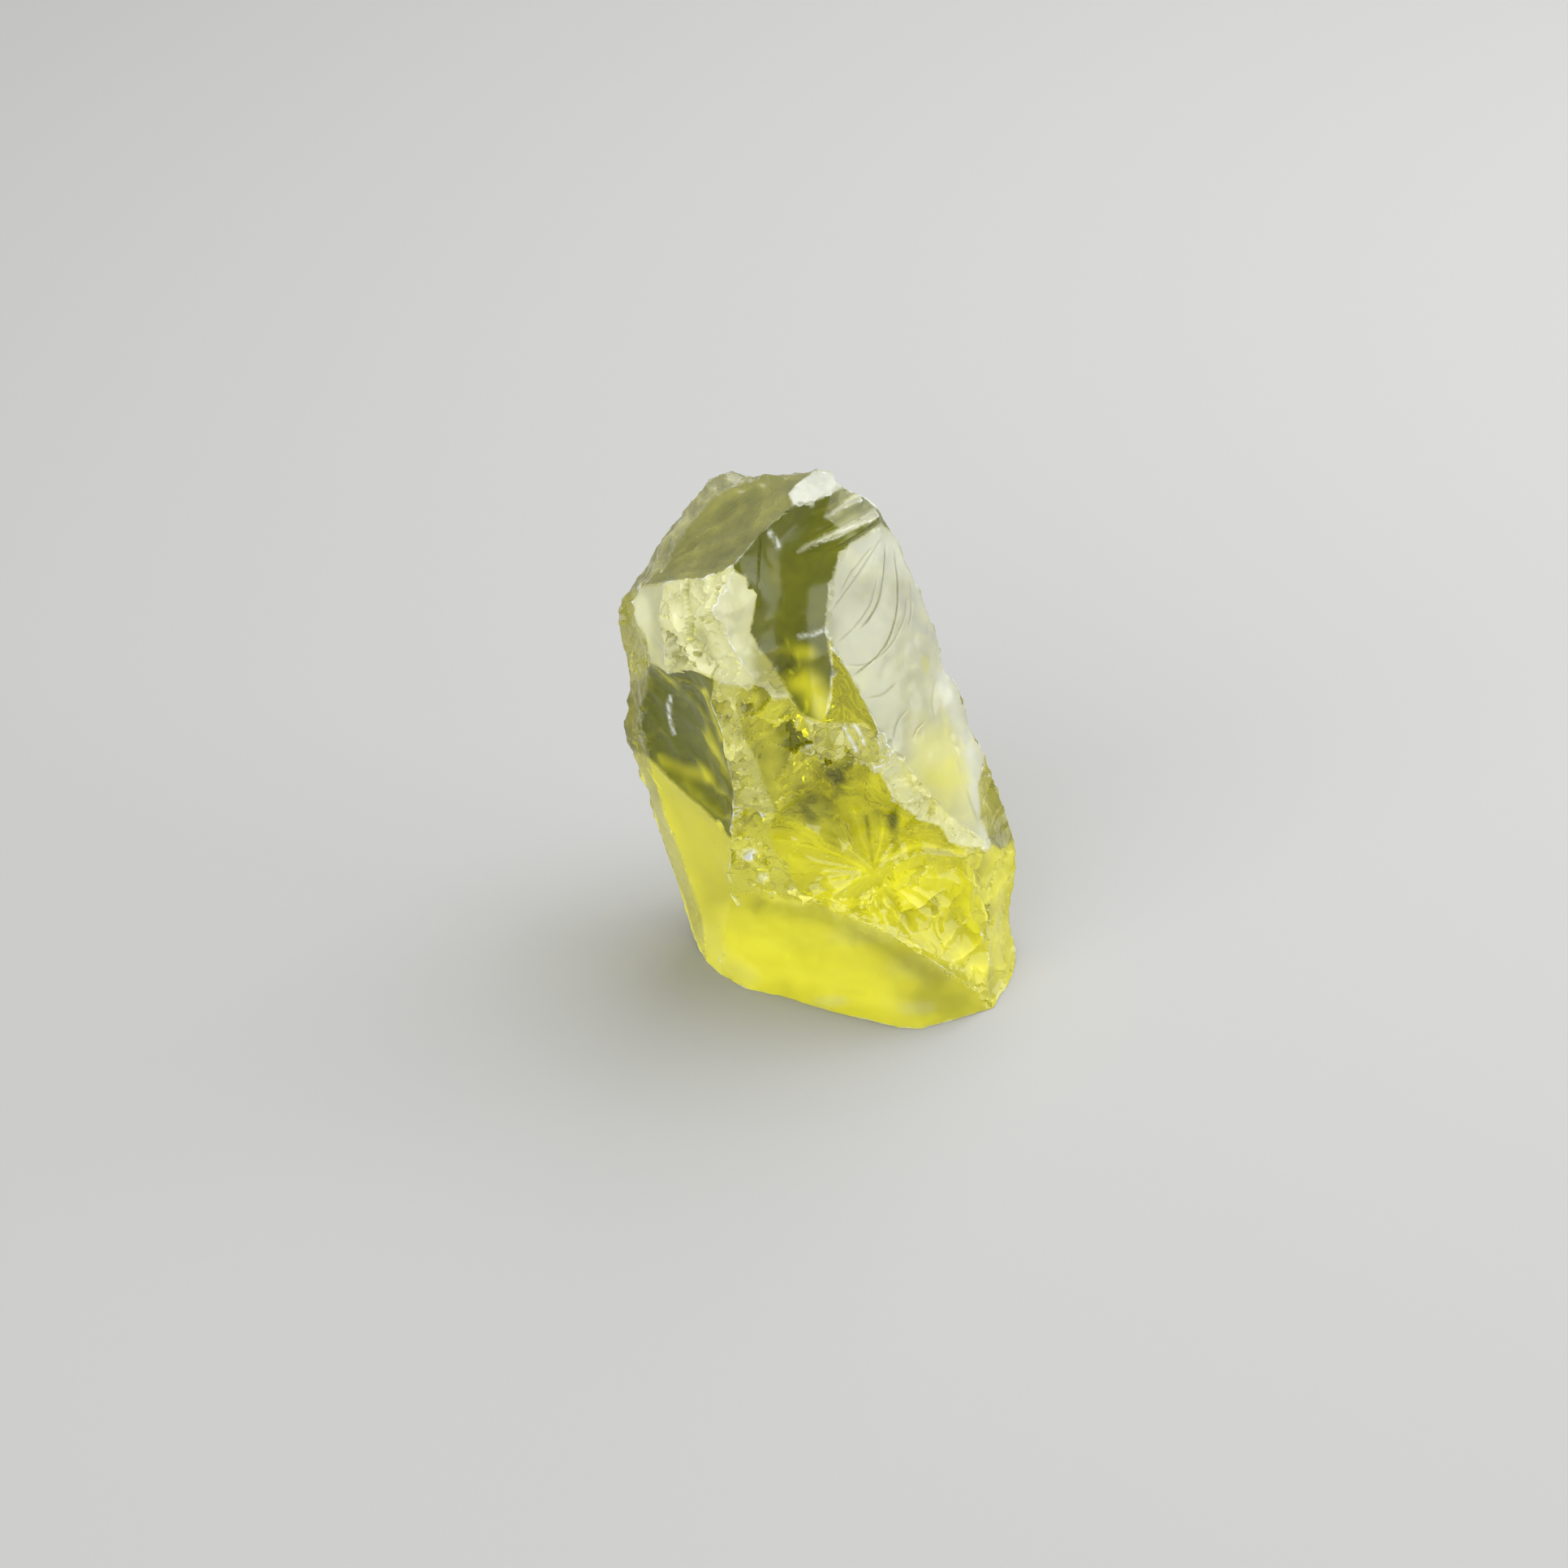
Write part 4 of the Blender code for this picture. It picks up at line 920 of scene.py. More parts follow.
def rim_trees(bm, number):
    """For each face, a search tree of the points on its ridges."""
    rims = {index: set() for index in range(len(FACES))}
    for edge in bm.edges:
        if is_ridge(edge, number):
            for face in edge.link_faces:
                rims[face[number]].update(edge.verts)
    trees = {}
    for index, verts in rims.items():
        tree = kdtree.KDTree(len(verts))
        for place, vert in enumerate(verts):
            tree.insert(vert.co, place)
        tree.balance()
        trees[index] = tree
    return trees


def faces_of(vert, number):
    return {face[number] for face in vert.link_faces}


def hollow(bm, number):
    """Sinks the inside of each face by its depth, rising to the ridges around it."""
    bm.normal_update()
    depths = [depth for depth, _ in FACES.values()]
    trees = rim_trees(bm, number)
    moves = []
    for vert in bm.verts:
        touched = faces_of(vert, number)
        if len(touched) > 1:
            continue
        index = touched.pop()
        reach = DISH_REACH[0] + DISH_REACH[1] * abs(depths[index])
        share = min(1.0, trees[index].find(vert.co)[2] / reach)
        moves.append((vert, vert.normal * depths[index] * (1 - (1 - share) ** 2)))
    for vert, move in moves:
        vert.co -= move


def curve(points):
    """A smooth line through the points, as more points."""
    ends = [points[0], *points, points[-1]]
    line = []
    for before, start, end, after in zip(ends, ends[1:], ends[2:], ends[3:]):
        pull = (Vector(end) - Vector(before)) / 6
        push = (Vector(after) - Vector(start)) / 6
        handles = Vector(start) + pull, Vector(end) - push
        line += geometry.interpolate_bezier(Vector(start), *handles, Vector(end), 6)[:-1]
    return [Vector(spot[:2]) for spot in line] + [Vector(points[-1])]


def line_box(line, margin):
    """The box of a line in the view, larger by a margin."""
    low = Vector((min(spot[0] for spot in line), min(spot[1] for spot in line)))
    high = Vector((max(spot[0] for spot in line), max(spot[1] for spot in line)))
    return low.x - margin, high.x + margin, low.y - margin, high.y + margin


def is_in(spot, box):
    return box[0] < spot.x < box[1] and box[2] < spot.y < box[3]


def thin_lines():
    """Every step and crack: its line, its box in the view, its width and its height."""
    lines = []
    for line, width, height in STEPS:
        lines.append((line, line_box(line, width + 0.3), width, height))
    for points, depth in CRACKS:
        line = curve(points)
        lines.append((line, line_box(line, 0.5), 0.0, -depth))
    return lines


def beside(spot, line):
    """Signed distance of a spot in the view from a polyline, in mm."""
    best = math.inf
    for start, end in zip(line, line[1:]):
        start, end = Vector(start), Vector(end)
        run = end - start
        share = max(0.0, min(1.0, (spot - start).dot(run) / run.length_squared))
        gap = spot - (start + run * share)
        side = math.copysign(gap.length, run.x * gap.y - run.y * gap.x)
        if abs(side) < abs(best):
            best = side
    return best


def refine_lines(bm, number):
    """Cuts the triangles finer along the steps and cracks, so that they come out crisp."""
    fronts = {list(FACES).index(name) for name in STEPPED}
    lines = thin_lines()
    for reach, longest in ((0.4, 0.22), (0.3, 0.15), (0.2, 0.10)):
        spots = {}
        for vert in bm.verts:
            if fronts & faces_of(vert, number):
                spots[vert] = in_view(vert.co)
        chosen = []
        for edge in bm.edges:
            first, second = edge.verts
            if first not in spots or second not in spots or edge.calc_length() < longest:
                continue
            spot = (spots[first] + spots[second]) / 2
            for line, box, _, _ in lines:
                if is_in(spot, box) and abs(beside(spot, line)) < reach:
                    chosen.append(edge)
                    break
        bmesh.ops.subdivide_edges(bm, edges=chosen, cuts=1)
        bmesh.ops.triangulate(bm, faces=bm.faces, quad_method="BEAUTY", ngon_method="BEAUTY")
        inside = [edge for edge in bm.edges if not is_ridge(edge, number)]
        bmesh.ops.beautify_fill(bm, faces=bm.faces, edges=inside)


def rib(place, start, gap, height):
    """Height of the curved ribs that run round the start of a break."""
    if not gap:
        return 0.0
    stray = 0.45 * noise.noise(place * 0.22) + 0.12 * noise.noise(place * 0.9)
    turn = (place - start).length / gap + stray * 2.2
    crest = 1 - abs(math.sin(math.pi * turn))
    strength = 0.45 + 0.55 * noise.noise(place * 0.16 + Vector((7, 3, 1)))
    return height * 1.4 * crest ** 1.5 * max(0.0, min(1.0, strength + 0.35))


def shell(place, height):
    """Height of small shells that meet in sharp crests. The place is in widths of a shell."""
    near = noise.voronoi(place)[0][0]
    return height * (min(1.0, near * near * 1.6) - 0.35)


def facet(place, height):
    """Height of small tilted planes of two sizes, as in crushed crystal, over parts of a face."""
    total = 0.0
    for size, share in ((1.9, 1.0), (0.75, 0.4)):
        cell = place / size
        _, points = noise.voronoi(cell)
        lean = noise.noise_vector(points[0] * 2.7)
        total += share * (cell - points[0]).dot(lean) * 3.4
    strength = 0.65 + 1.2 * noise.noise(place * 0.4 + Vector((5, 5, 5)))
    return height * total * max(0.15, min(1.0, strength))


def splinter(place, start, facing, count, height):
    """Height of the long, thin shells that run out from the start of a break."""
    aside = facing.orthogonal().normalized()
    along = facing.cross(aside)
    away = place - start
    reach = away.length
    turn = math.atan2(away.dot(aside), away.dot(along)) * count / math.tau
    strength = 0.45 + 1.3 * noise.noise(place * 0.2 + Vector((2, 9, 4)))
    strength = max(0.0, min(1.2, strength)) * min(1.0, reach / 3.5)
    return shell(Vector((turn, reach * 0.24, start.x)), height) * strength


def lump(place, height):
    return height * (noise.noise(place * 0.45) + 0.5 * noise.noise(place * 1.1))


def line_height(spot, line, width, height):
    """Height of one thin step, or of a crack if it has no width, beside a line in the view."""
    near = beside(spot, line)
    ends = min((spot - Vector(line[0])).length, (spot - Vector(line[-1])).length)
    height *= min(1.0, ends / 0.8 + 0.1)
    if not width:
        return height * max(0.0, 1 - abs(near) / CRACK_WIDTH)
    if near <= -STEP_SCARP or near >= width:
        return 0.0
    if near < 0:
        return height * (1 + near / STEP_SCARP)
    return height * (1 - near / width)


def carve(bm, number, settings):
    """Raises the ribs, splinters, lumps, steps and cracks of each face."""
    bm.normal_update()
    places = corners()
    names = list(FACES)
    trees = rim_trees(bm, number)
    facings = {index: Vector() for index in range(len(names))}
    for face in bm.faces:
        facings[face[number]] += face.normal * face.calc_area()
    fronts = {names.index(name) for name in STEPPED}
    lines = thin_lines()
    raised = bm.verts.layers.float.new("raised")
    cracked = bm.verts.layers.float.new("cracked")
    base = names.index("base")
    moves = []
    for vert in bm.verts:
        touched = faces_of(vert, number)
        if base in touched:
            continue
        total = 0.0
        for index in touched:
            if names[index] not in BREAKS:
                continue
            start, gap, height, count, long, wide, deep, soft = BREAKS[names[index]]
            total += rib(vert.co, places[start], gap, height) + lump(vert.co, soft)
            if count:
                facing = facings[index].normalized()
                total += splinter(vert.co, places[start], facing, count, long)
            if wide:
                stray = noise.noise_vector(vert.co * 0.5) * 0.6
                stray += noise.noise_vector(vert.co * 1.7) * 0.2
                cell = (vert.co + stray) / wide + Vector((index, 0, 0))
                total += (facet if names[index] in CRUSHED else shell)(cell, deep)
        total /= len(touched)
        if len(touched) > 1:
            total *= RIDGE_RELIEF
        else:
            away = trees[next(iter(touched))].find(vert.co)[2]
            total *= RIDGE_RELIEF + (1 - RIDGE_RELIEF) * min(1.0, away / RELIEF_REACH)
        vert[raised] = max(-1.0, min(1.0, total / FULL_RAISE))
        if touched & fronts:
            spot = in_view(vert.co)
            for line, box, width, height in lines:
                if is_in(spot, box):
                    lift = line_height(spot, line, width, height)
                    total += lift
                    if not width:
                        vert[cracked] = max(vert[cracked], -lift / FULL_CRACK)
        moves.append((vert, vert.normal * total * settings.relief))
    for vert, move in moves:
        vert.co += move


def chip_places(bm, number, settings):
    """Where each chip sits: its centre, its radius and the way that it points, in mm."""
    names = list(FACES)
    draw = random.Random(CHIP_SEED)
    ridges = [edge for edge in bm.edges if is_ridge(edge, number)]
    ridges.sort(key=lambda edge: tuple(round(value, 3) for value in edge.verts[0].co))
    base = names.index("base")
    places = []
    for name, density, radius, depth in CHIPPED:
        wanted = names.index(name)
        for edge in ridges:
            pair = {face[number] for face in edge.link_faces}
            if wanted not in pair or base in pair:
                continue
            if draw.random() > density * edge.calc_length() * settings.chip_share:
                continue
            sides = [face.normal for face in edge.link_faces]
            if not edge.is_convex or sides[0].dot(sides[1]) > 0.94:
                continue
            middle = (edge.verts[0].co + edge.verts[1].co) / 2
            outward = sides[0].lerp(sides[1], draw.uniform(0.1, 0.9)).normalized()
            size = radius * draw.uniform(0.45, 1.5)
            sunk = min(size * 0.6, depth * draw.uniform(0.5, 1.5))
            along = (edge.verts[1].co - edge.verts[0].co).normalized()
            places.append((middle + outward * (size - sunk), size, outward, along, wanted))
    return places


def bite_places(bm, number):
    """Where the single bites sit, found by looking along the view's sight lines."""
    bm.faces.ensure_lookup_table()
    tree = BVHTree.FromBMesh(bm)
    target, up, nearer = sight()
    eye = target + nearer * VIEW_DISTANCE
    places = []
    for across, rise, radius, depth in BITES:
        point = target + Vector((across - VIEW_ACROSS, 0, 0)) + up * (rise - VIEW_UP)
        hit, normal, index, _ = tree.ray_cast(eye, (point - eye).normalized())
        if hit is None:
            raise RuntimeError(f"the bite at {across}, {rise} misses the stone")
        centre = hit + normal * (radius - depth)
        along = normal.orthogonal().normalized()
        places.append((centre, radius, normal, along, bm.faces[index][number]))
    return places


def chip_cutter(places):
    """One mesh that holds an uneven, flat-sided lump for each chip."""
    draw = random.Random(CHIP_SEED + 1)
    bm = bmesh.new()
    number = bm.faces.layers.int.new("face")
    for centre, radius, outward, along, face in places:
        aside = outward.cross(along).normalized()
        ahead = aside.cross(outward).normalized()
        turn = Matrix((ahead, aside, outward)).transposed().to_4x4()
        place = (
            Matrix.Translation(centre)
            @ turn
            @ Matrix.Rotation(draw.uniform(-0.6, 0.6), 4, "Z")
            @ Matrix.Diagonal((radius * draw.uniform(0.9, 1.8), radius, radius, 1.0))
            @ Matrix.Rotation(draw.uniform(0, math.tau), 4, "Z")
            @ Matrix.Rotation(draw.uniform(0, math.tau), 4, "X")
        )
        made = bmesh.ops.create_icosphere(bm, subdivisions=1, radius=1.0)
        for vert in made["verts"]:
            vert.co *= draw.uniform(0.88, 1.18)
            vert.co = place @ vert.co
            for side in vert.link_faces:
                side[number] = face
    bmesh.ops.scale(bm, vec=(MM, MM, MM), verts=bm.verts)
    mesh = bpy.data.meshes.new("chips")
    bm.to_mesh(mesh)
    bm.free()
    cutter = bpy.data.objects.new("chips", mesh)
    bpy.context.scene.collection.objects.link(cutter)
    return cutter


def spot_share(spot, across, up, wide, tall):
    """1 at the middle of a soft spot in the view, falling to 0 around it."""
    gap = math.hypot((spot.x - across) / wide, (spot.y - up) / tall)
    gap += 0.35 * noise.noise(Vector((spot.x, spot.y, across)) * 0.9)
    share = max(0.0, min(1.0, (1.35 - gap) / 0.9))
    return share * share * (3 - 2 * share)


def write_finish_and_painted_light(mesh, shift):
    """Writes the finish of every point, with the glow, shade, sheen and glints painted on it, and
    how sharp the edges near it are.
    """
    gleams = []
    for points, width, look, amount in GLEAMS:
        line = curve(points)
        gleams.append((line, line_box(line, width), width, look, amount))
    names = list(FACES)
    bm = bmesh.new()
    bm.from_mesh(mesh)
    bm.normal_update()
    number = bm.faces.layers.int["face"]
    _, _, nearer = sight()
    raised = bm.verts.layers.float.get("raised")
    cracked = bm.verts.layers.float.get("cracked")
    rows = [FINISHES_AND_PAINTED_LIGHT[name] for name in names]
    streaks = [RELIEF_PAINTED_LIGHT.get(name, 0.0) for name in names]
    hidden = {names.index(name) for name in names if name.startswith(("rear", "base"))}
    columns = {look: [0.0] * len(bm.verts) for look in LOOKS}
    worn = [0.0] * len(bm.verts)
    for vert in bm.verts:
        touched = faces_of(vert, number)
        values = [sum(rows[face][part] for face in touched) / len(touched) for part in range(5)]
        if not touched & hidden and vert.normal.dot(nearer) > TURNED_AWAY:
            spot = in_view((vert.co - shift) / MM)
            for across, up, wide, tall, look, amount in SPOTS:
                if abs(spot.x - across) < wide * 1.8 and abs(spot.y - up) < tall * 1.8:
                    values[LOOKS.index(look)] += amount * spot_share(spot, across, up, wide, tall)
            for line, box, width, look, amount in gleams:
                if is_in(spot, box):
                    share = max(0.0, 1 - abs(beside(spot, line)) / width)
                    values[LOOKS.index(look)] += amount * share * share * (3 - 2 * share)
        # Painted light from the relief: glow and sheen on raised parts, painted shade in cracks
        relief_light = vert[raised] * sum(streaks[face] for face in touched) / len(touched)
        values[LOOKS.index("tint")] += relief_light * CREST_PAINTED_GLOW - vert[cracked] * CRACK_PAINTED_SHADE
        values[LOOKS.index("veil")] += relief_light * CREST_PAINTED_SHEEN - vert[cracked] * CRACK_PAINTED_SHADE_SKIN
        for look, value in zip(LOOKS, values):
            columns[look][vert.index] = value
    for edge in bm.edges:
        if len(edge.link_faces) == 2 and edge.is_convex:
            bend = min(1.0, edge.calc_face_angle(0.0) / WORN_BEND)
            if {face[number] for face in edge.link_faces} <= hidden:
                bend *= REAR_WEAR
            if not is_ridge(edge, number):
                bend *= FLAT_WEAR
            for vert in edge.verts:
                worn[vert.index] = max(worn[vert.index], bend)
    soft = list(worn)
    for vert in bm.verts:
        near = [worn[edge.other_vert(vert).index] for edge in vert.link_edges]
        if near:
            soft[vert.index] = 0.6 * worn[vert.index] + 0.4 * sum(near) / len(near)
    columns["worn"] = soft
    bm.free()
    for name, values in columns.items():
        if name not in mesh.attributes:
            mesh.attributes.new(name, "FLOAT", "POINT")
        mesh.attributes[name].data.foreach_set("value", values)


def make_stone(settings):
    noise.seed_set(NOISE_SEED)
    bm = bmesh.new()
    number = cage(bm)
    refine(bm, number, [COARSE_EDGE] * len(FACES), 4)
    relax(bm, number, RELAX_ROUNDS)
    wander(bm, number, WANDER_SCALE, RIDGE_WANDER)
    refine(bm, number, edge_lengths(settings.edge_length * MEDIUM_EDGE / MM), 2)
    hollow(bm, number)
    refine(bm, number, edge_lengths(settings.edge_length / MM), 1)
    wander(bm, number, FINE_SCALE, FINE_WANDER)
    refine_lines(bm, number)
    carve(bm, number, settings)
    bm.normal_update()
    cutter = chip_cutter(chip_places(bm, number, settings) + bite_places(bm, number))
    bmesh.ops.scale(bm, vec=(MM, MM, MM), verts=bm.verts)
    mesh = bpy.data.meshes.new("stone")
    bm.to_mesh(mesh)
    bm.free()
    stone = bpy.data.objects.new("stone", mesh)
    bpy.context.scene.collection.objects.link(stone)
    cut = stone.modifiers.new("chips", "BOOLEAN")
    cut.operation = "DIFFERENCE"
    cut.solver = "EXACT"
    cut.use_self = True
    cut.object = cutter
    graph = bpy.context.evaluated_depsgraph_get()
    carved = bpy.data.meshes.new_from_object(stone.evaluated_get(graph))
    stone.modifiers.clear()
    stone.data = carved
    bpy.data.objects.remove(cutter)
    shift = stand_on_frame(carved)
    write_finish_and_painted_light(carved, shift)
    sharpen(carved)
    return stone, shift


def sharpen(mesh):
    """Shades the mesh smooth, but for its sharp edges and the ridges between its faces."""
    bm = bmesh.new()
    bm.from_mesh(mesh)
    number = bm.faces.layers.int["face"]
    for face in bm.faces:
        face.smooth = True
    crushed = {list(FACES).index(name) for name in CRUSHED}
    for edge in bm.edges:
        if len(edge.link_faces) == 2:
            touched = {face[number] for face in edge.link_faces}
            limit = CRUSHED_ANGLE if touched <= crushed else SHARP_ANGLE
            if len(touched) > 1:
                limit = RIDGE_ANGLE
            edge.smooth = edge.calc_face_angle(0.0) < limit
    bm.to_mesh(mesh)
    bm.free()


def stand_on_frame(mesh):
    """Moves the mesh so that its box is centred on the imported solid's box and shares its base."""
    low = Vector([min(vert.co[axis] for vert in mesh.vertices) for axis in range(3)])
    high = Vector([max(vert.co[axis] for vert in mesh.vertices) for axis in range(3)])
    want_low, want_high = (Vector(corner) for corner in STONE_BOX)
    shift = (want_low + want_high) / 2 - (low + high) / 2
    shift.z = want_low.z - low.z
    mesh.transform(Matrix.Translation(shift))
    return shift


# Material

class Link:
    """A socket, or a number, that adds Math or Mix nodes when it is used in an expression."""

    def __init__(self, tree, socket):
        self.tree = tree
        self.socket = socket

    def _math(self, operation, other, turned=False):
        values = [other, self] if turned else [self, other]
        return self.tree.node("ShaderNodeMath", {"operation": operation}, dict(enumerate(values)))

    def __add__(self, other):
        return self._math("ADD", other)

    __radd__ = __add__

    def __sub__(self, other):
        return self._math("SUBTRACT", other)

    def __rsub__(self, other):
        return self._math("SUBTRACT", other, True)

    def __mul__(self, other):
        return self._math("MULTIPLY", other)

    __rmul__ = __mul__

    def clamp(self):
        return self.tree.node("ShaderNodeClamp", {}, {0: self})

    def span(self, low, high, to_low=0.0, to_high=1.0):
        values = {0: self, 1: low, 2: high, 3: to_low, 4: to_high}
        settings = {"interpolation_type": "SMOOTHSTEP"}
        return self.tree.node("ShaderNodeMapRange", settings, values)


class Finish:
    """A material's nodes, made one at a time."""

    def __init__(self, name):
        self.material = bpy.data.materials.new(name)
        self.material.use_nodes = True
        self.tree = self.material.node_tree
        self.tree.nodes.clear()

    def node(self, kind, settings, values, output=0):
        """A node of that kind, with its settings first and then the values of its inputs."""
        made = self.tree.nodes.new(kind)
        for name, value in settings.items():
            setattr(made, name, value)
        for name, value in values.items():
            self.feed(made.inputs[name], value)
        return Link(self, made.outputs[output])

    def feed(self, socket, value):
        if isinstance(value, Link):
            self.tree.links.new(value.socket, socket)
        else:
            socket.default_value = value

    def attribute(self, name):
        return self.node("ShaderNodeAttribute", {"attribute_name": name}, {}, "Fac")

    def place(self):
        return self.node("ShaderNodeTexCoord", {}, {}, "Object")

    def noise(self, place, scale, detail=3.0, rough=0.5):
        values = {"Vector": place, "Scale": scale, "Detail": detail, "Roughness": rough}
        return self.node("ShaderNodeTexNoise", {}, values, "Fac")

    def blend(self, share, first, second):
        """A colour between two others."""
        made = self.tree.nodes.new("ShaderNodeMix")
        made.data_type = "RGBA"
        sockets = {"Factor_Float": share, "A_Color": first, "B_Color": second}
        for socket in made.inputs:
            if socket.identifier in sockets:
                self.feed(socket, sockets[socket.identifier])
        output = next(socket for socket in made.outputs if socket.identifier == "Result_Color")
        return Link(self, output)

    def finish(self, surface, volume=None):
        output = self.tree.nodes.new("ShaderNodeOutputMaterial")
        self.tree.links.new(surface.socket, output.inputs["Surface"])
        if volume:
            self.tree.links.new(volume.socket, output.inputs["Volume"])


def stone_material(settings):
    nodes = Finish("prasiolite")
    place = nodes.place()
    frost, veil, crust, tint, pale, worn = (
        nodes.attribute(name) for name in ("frost", "veil", "crust", "tint", "pale", "worn")
    )
    cloud = nodes.noise(place, 260.0, 3.0)
    grain = nodes.noise(place, 1600.0, 5.0, 0.62)
    # Painted glow and shade, with a random tone from the cloud: 0 gives the deep green of painted
    # shade, 1 the yellow of painted glow
    bright = (tint + (cloud - 0.5) * 0.5).span(-1.1, 1.1)
    colour = nodes.blend(bright, tuple(settings.olive), tuple(settings.lemon))
    rough = settings.clear_roughness + frost * (0.46 + (grain - 0.5) * 0.16)
    drift = nodes.noise(place, 90.0, 2.0)
    # The milky skin: real in parts, painted sheen and reflection in others, and in the hollows a
    # dark sheet of painted shade
    skin = veil * (0.95 + (cloud - 0.5) * 0.4 + (drift - 0.5) * 0.9)
    # Crushed whitish skin, and the painted glints that share its attribute
    crushed = crust * grain.span(0.36, 0.6, 0.35, 1.3)
    edges = worn.span(0.30, 0.80) * grain.span(0.40, 0.56, 0.2, 1.0) * cloud.span(0.36, 0.60)
    white = (skin + crushed + edges * 0.45).clamp()
    whiteness = (pale + crushed + edges).clamp()
    clear = nodes.node(
        "ShaderNodeBsdfPrincipled",
        {},
        {
            "Base Color": colour,
            "Roughness": rough.clamp(),
            "IOR": settings.ior,
            "Transmission Weight": 1.0,
        },
    )
    # The skin's colour: a dark copy for painted shade, a yellow copy for painted glow, and white
    # for the real milky skin and the painted reflections and glints
    milky = nodes.node(
        "ShaderNodeBsdfPrincipled",
        {},
        {
            "Base Color": nodes.blend(
                whiteness,
                nodes.blend(bright, tuple(settings.olive_skin), tuple(settings.lemon_skin)),
                tuple(settings.white_skin),
            ),
            "Roughness": 0.14 + frost * 0.4 + crushed * 0.3,
            "IOR": settings.ior,
            "Specular IOR Level": settings.skin_gloss,
        },
    )
    surface = nodes.node("ShaderNodeMixShader", {}, {0: white, 1: clear, 2: milky})
    volume = nodes.node(
        "ShaderNodeVolumeAbsorption",
        {},
        {"Color": tuple(settings.body_colour), "Density": settings.body_density},
    )
    nodes.finish(surface, volume)
    return nodes.material


def floor_material(colour):
    nodes = Finish("floor")
    shader = nodes.node(
        "ShaderNodeBsdfPrincipled", {}, {"Base Color": tuple(colour), "Roughness": 0.9}
    )
    nodes.finish(shader)
    return nodes.material


# Stage

# Soft lights: their place, the point that they face and their width, in mm
LIGHTS = {
    "key": ((90, 130, 300), (0, 0, 10), 380),
    "side": ((330, 10, 70), (0, 0, 18), 380),
    "fill": ((-190, -320, 170), (0, 0, 14), 420),
}
FLOOR_REACH = 3.0  # m from the middle of the floor to its edge
FLOOR_GAP = 0.00002  # m between the stone and the floor
BOUNCES, GLOSSY_BOUNCES = 24, 12


def area_light(name, place, target, size, power):
    """A square soft light, with its place, its target and its size in mm."""
    lamp = bpy.data.lights.new(name, "AREA")
    lamp.shape = "RECTANGLE"
    lamp.size, lamp.size_y = size * MM, size * MM
    lamp.energy = power
    light = bpy.data.objects.new(name, lamp)
    bpy.context.scene.collection.objects.link(light)
    light.location = Vector(place) * MM
    aim = (Vector(target) - Vector(place)).to_track_quat("-Z", "Y")
    light.rotation_euler = aim.to_euler()


def make_floor(settings):
    bm = bmesh.new()
    bmesh.ops.create_grid(bm, x_segments=1, y_segments=1, size=FLOOR_REACH)
    mesh = bpy.data.meshes.new("floor")
    bm.to_mesh(mesh)
    bm.free()
    floor = bpy.data.objects.new("floor", mesh)
    bpy.context.scene.collection.objects.link(floor)
    floor.location.z = STONE_BOX[0][2] - FLOOR_GAP
    mesh.materials.append(floor_material(settings.floor_colour))


def make_camera(shift):
    target, _, nearer = sight()
    data = bpy.data.cameras.new("camera")
    data.sensor_width = SENSOR
    data.lens = SENSOR * VIEW_DISTANCE / FRAME_WIDTH
    data.clip_start = 0.01
    camera = bpy.data.objects.new("camera", data)
    bpy.context.scene.collection.objects.link(camera)
    camera.location = (target + nearer * VIEW_DISTANCE) * MM + shift
    camera.rotation_euler = (math.pi / 2 - VIEW_HEIGHT, 0.0, 0.0)
    bpy.context.scene.camera = camera


# Add-on

def colour_property(name, description, default):
    return FloatVectorProperty(
        name=name, description=description, default=default, size=4, subtype="COLOR"
    )


class StoneSettings(bpy.types.PropertyGroup):
    edge_length: FloatProperty(
        name="Edge length",
        description="Longest edge of the stone's small triangles",
        default=0.00036,
        min=0.0002,
        unit="LENGTH",
        precision=5,
    )
    relief: FloatProperty(
        name="Relief", description="Strength of the ribs, splinters and lumps", default=1.0
    )
    chip_share: FloatProperty(
        name="Chips", description="How many of the usual chips are cut", default=1.0, min=0.0
    )
    ior: FloatProperty(name="IOR", description="How strongly the stone bends light", default=1.544)
    skin_gloss: FloatProperty(
        name="Skin gloss", description="Gloss of the milky skin", default=0.25, min=0.0, max=1.0
    )
    clear_roughness: FloatProperty(
        name="Clear roughness", description="Roughness of the clear faces", default=0.04
    )
    # Painted shade: the glass colour of the faces painted darker
    olive: colour_property(
        "Olive", "Tint of the deeper faces", (0.10, 0.112, 0.016, 1.0)
    )
    # Painted glow: the glass colour of the faces painted brighter
    lemon: colour_property(
        "Lemon", "Tint of the brighter faces", (1.0, 0.98, 0.32, 1.0)
    )
    # Painted glow: the yellow skin on the frosted lower faces
    lemon_skin: colour_property(
        "Lemon skin", "Colour of the frosted lower faces", (1.0, 0.95, 0.04, 1.0)
    )
    # Painted shade: the dark skin in the deep hollows
    olive_skin: colour_property(
        "Olive skin", "Colour of the milky skin in the deep hollows", (0.12, 0.135, 0.012, 1.0)
    )
    # Milky faces and crushed edges, and the painted reflections and glints
    white_skin: colour_property(
        "White skin", "Colour of the milky faces and the crushed edges", (0.74, 0.77, 0.72, 1.0)
    )
    body_colour: colour_property(
        "Body colour", "Colour that the stone lets through in its depth", (0.972, 0.968, 0.03, 1.0)
    )
    body_density: FloatProperty(
        name="Body density", description="How fast the stone takes up light", default=210.0
    )


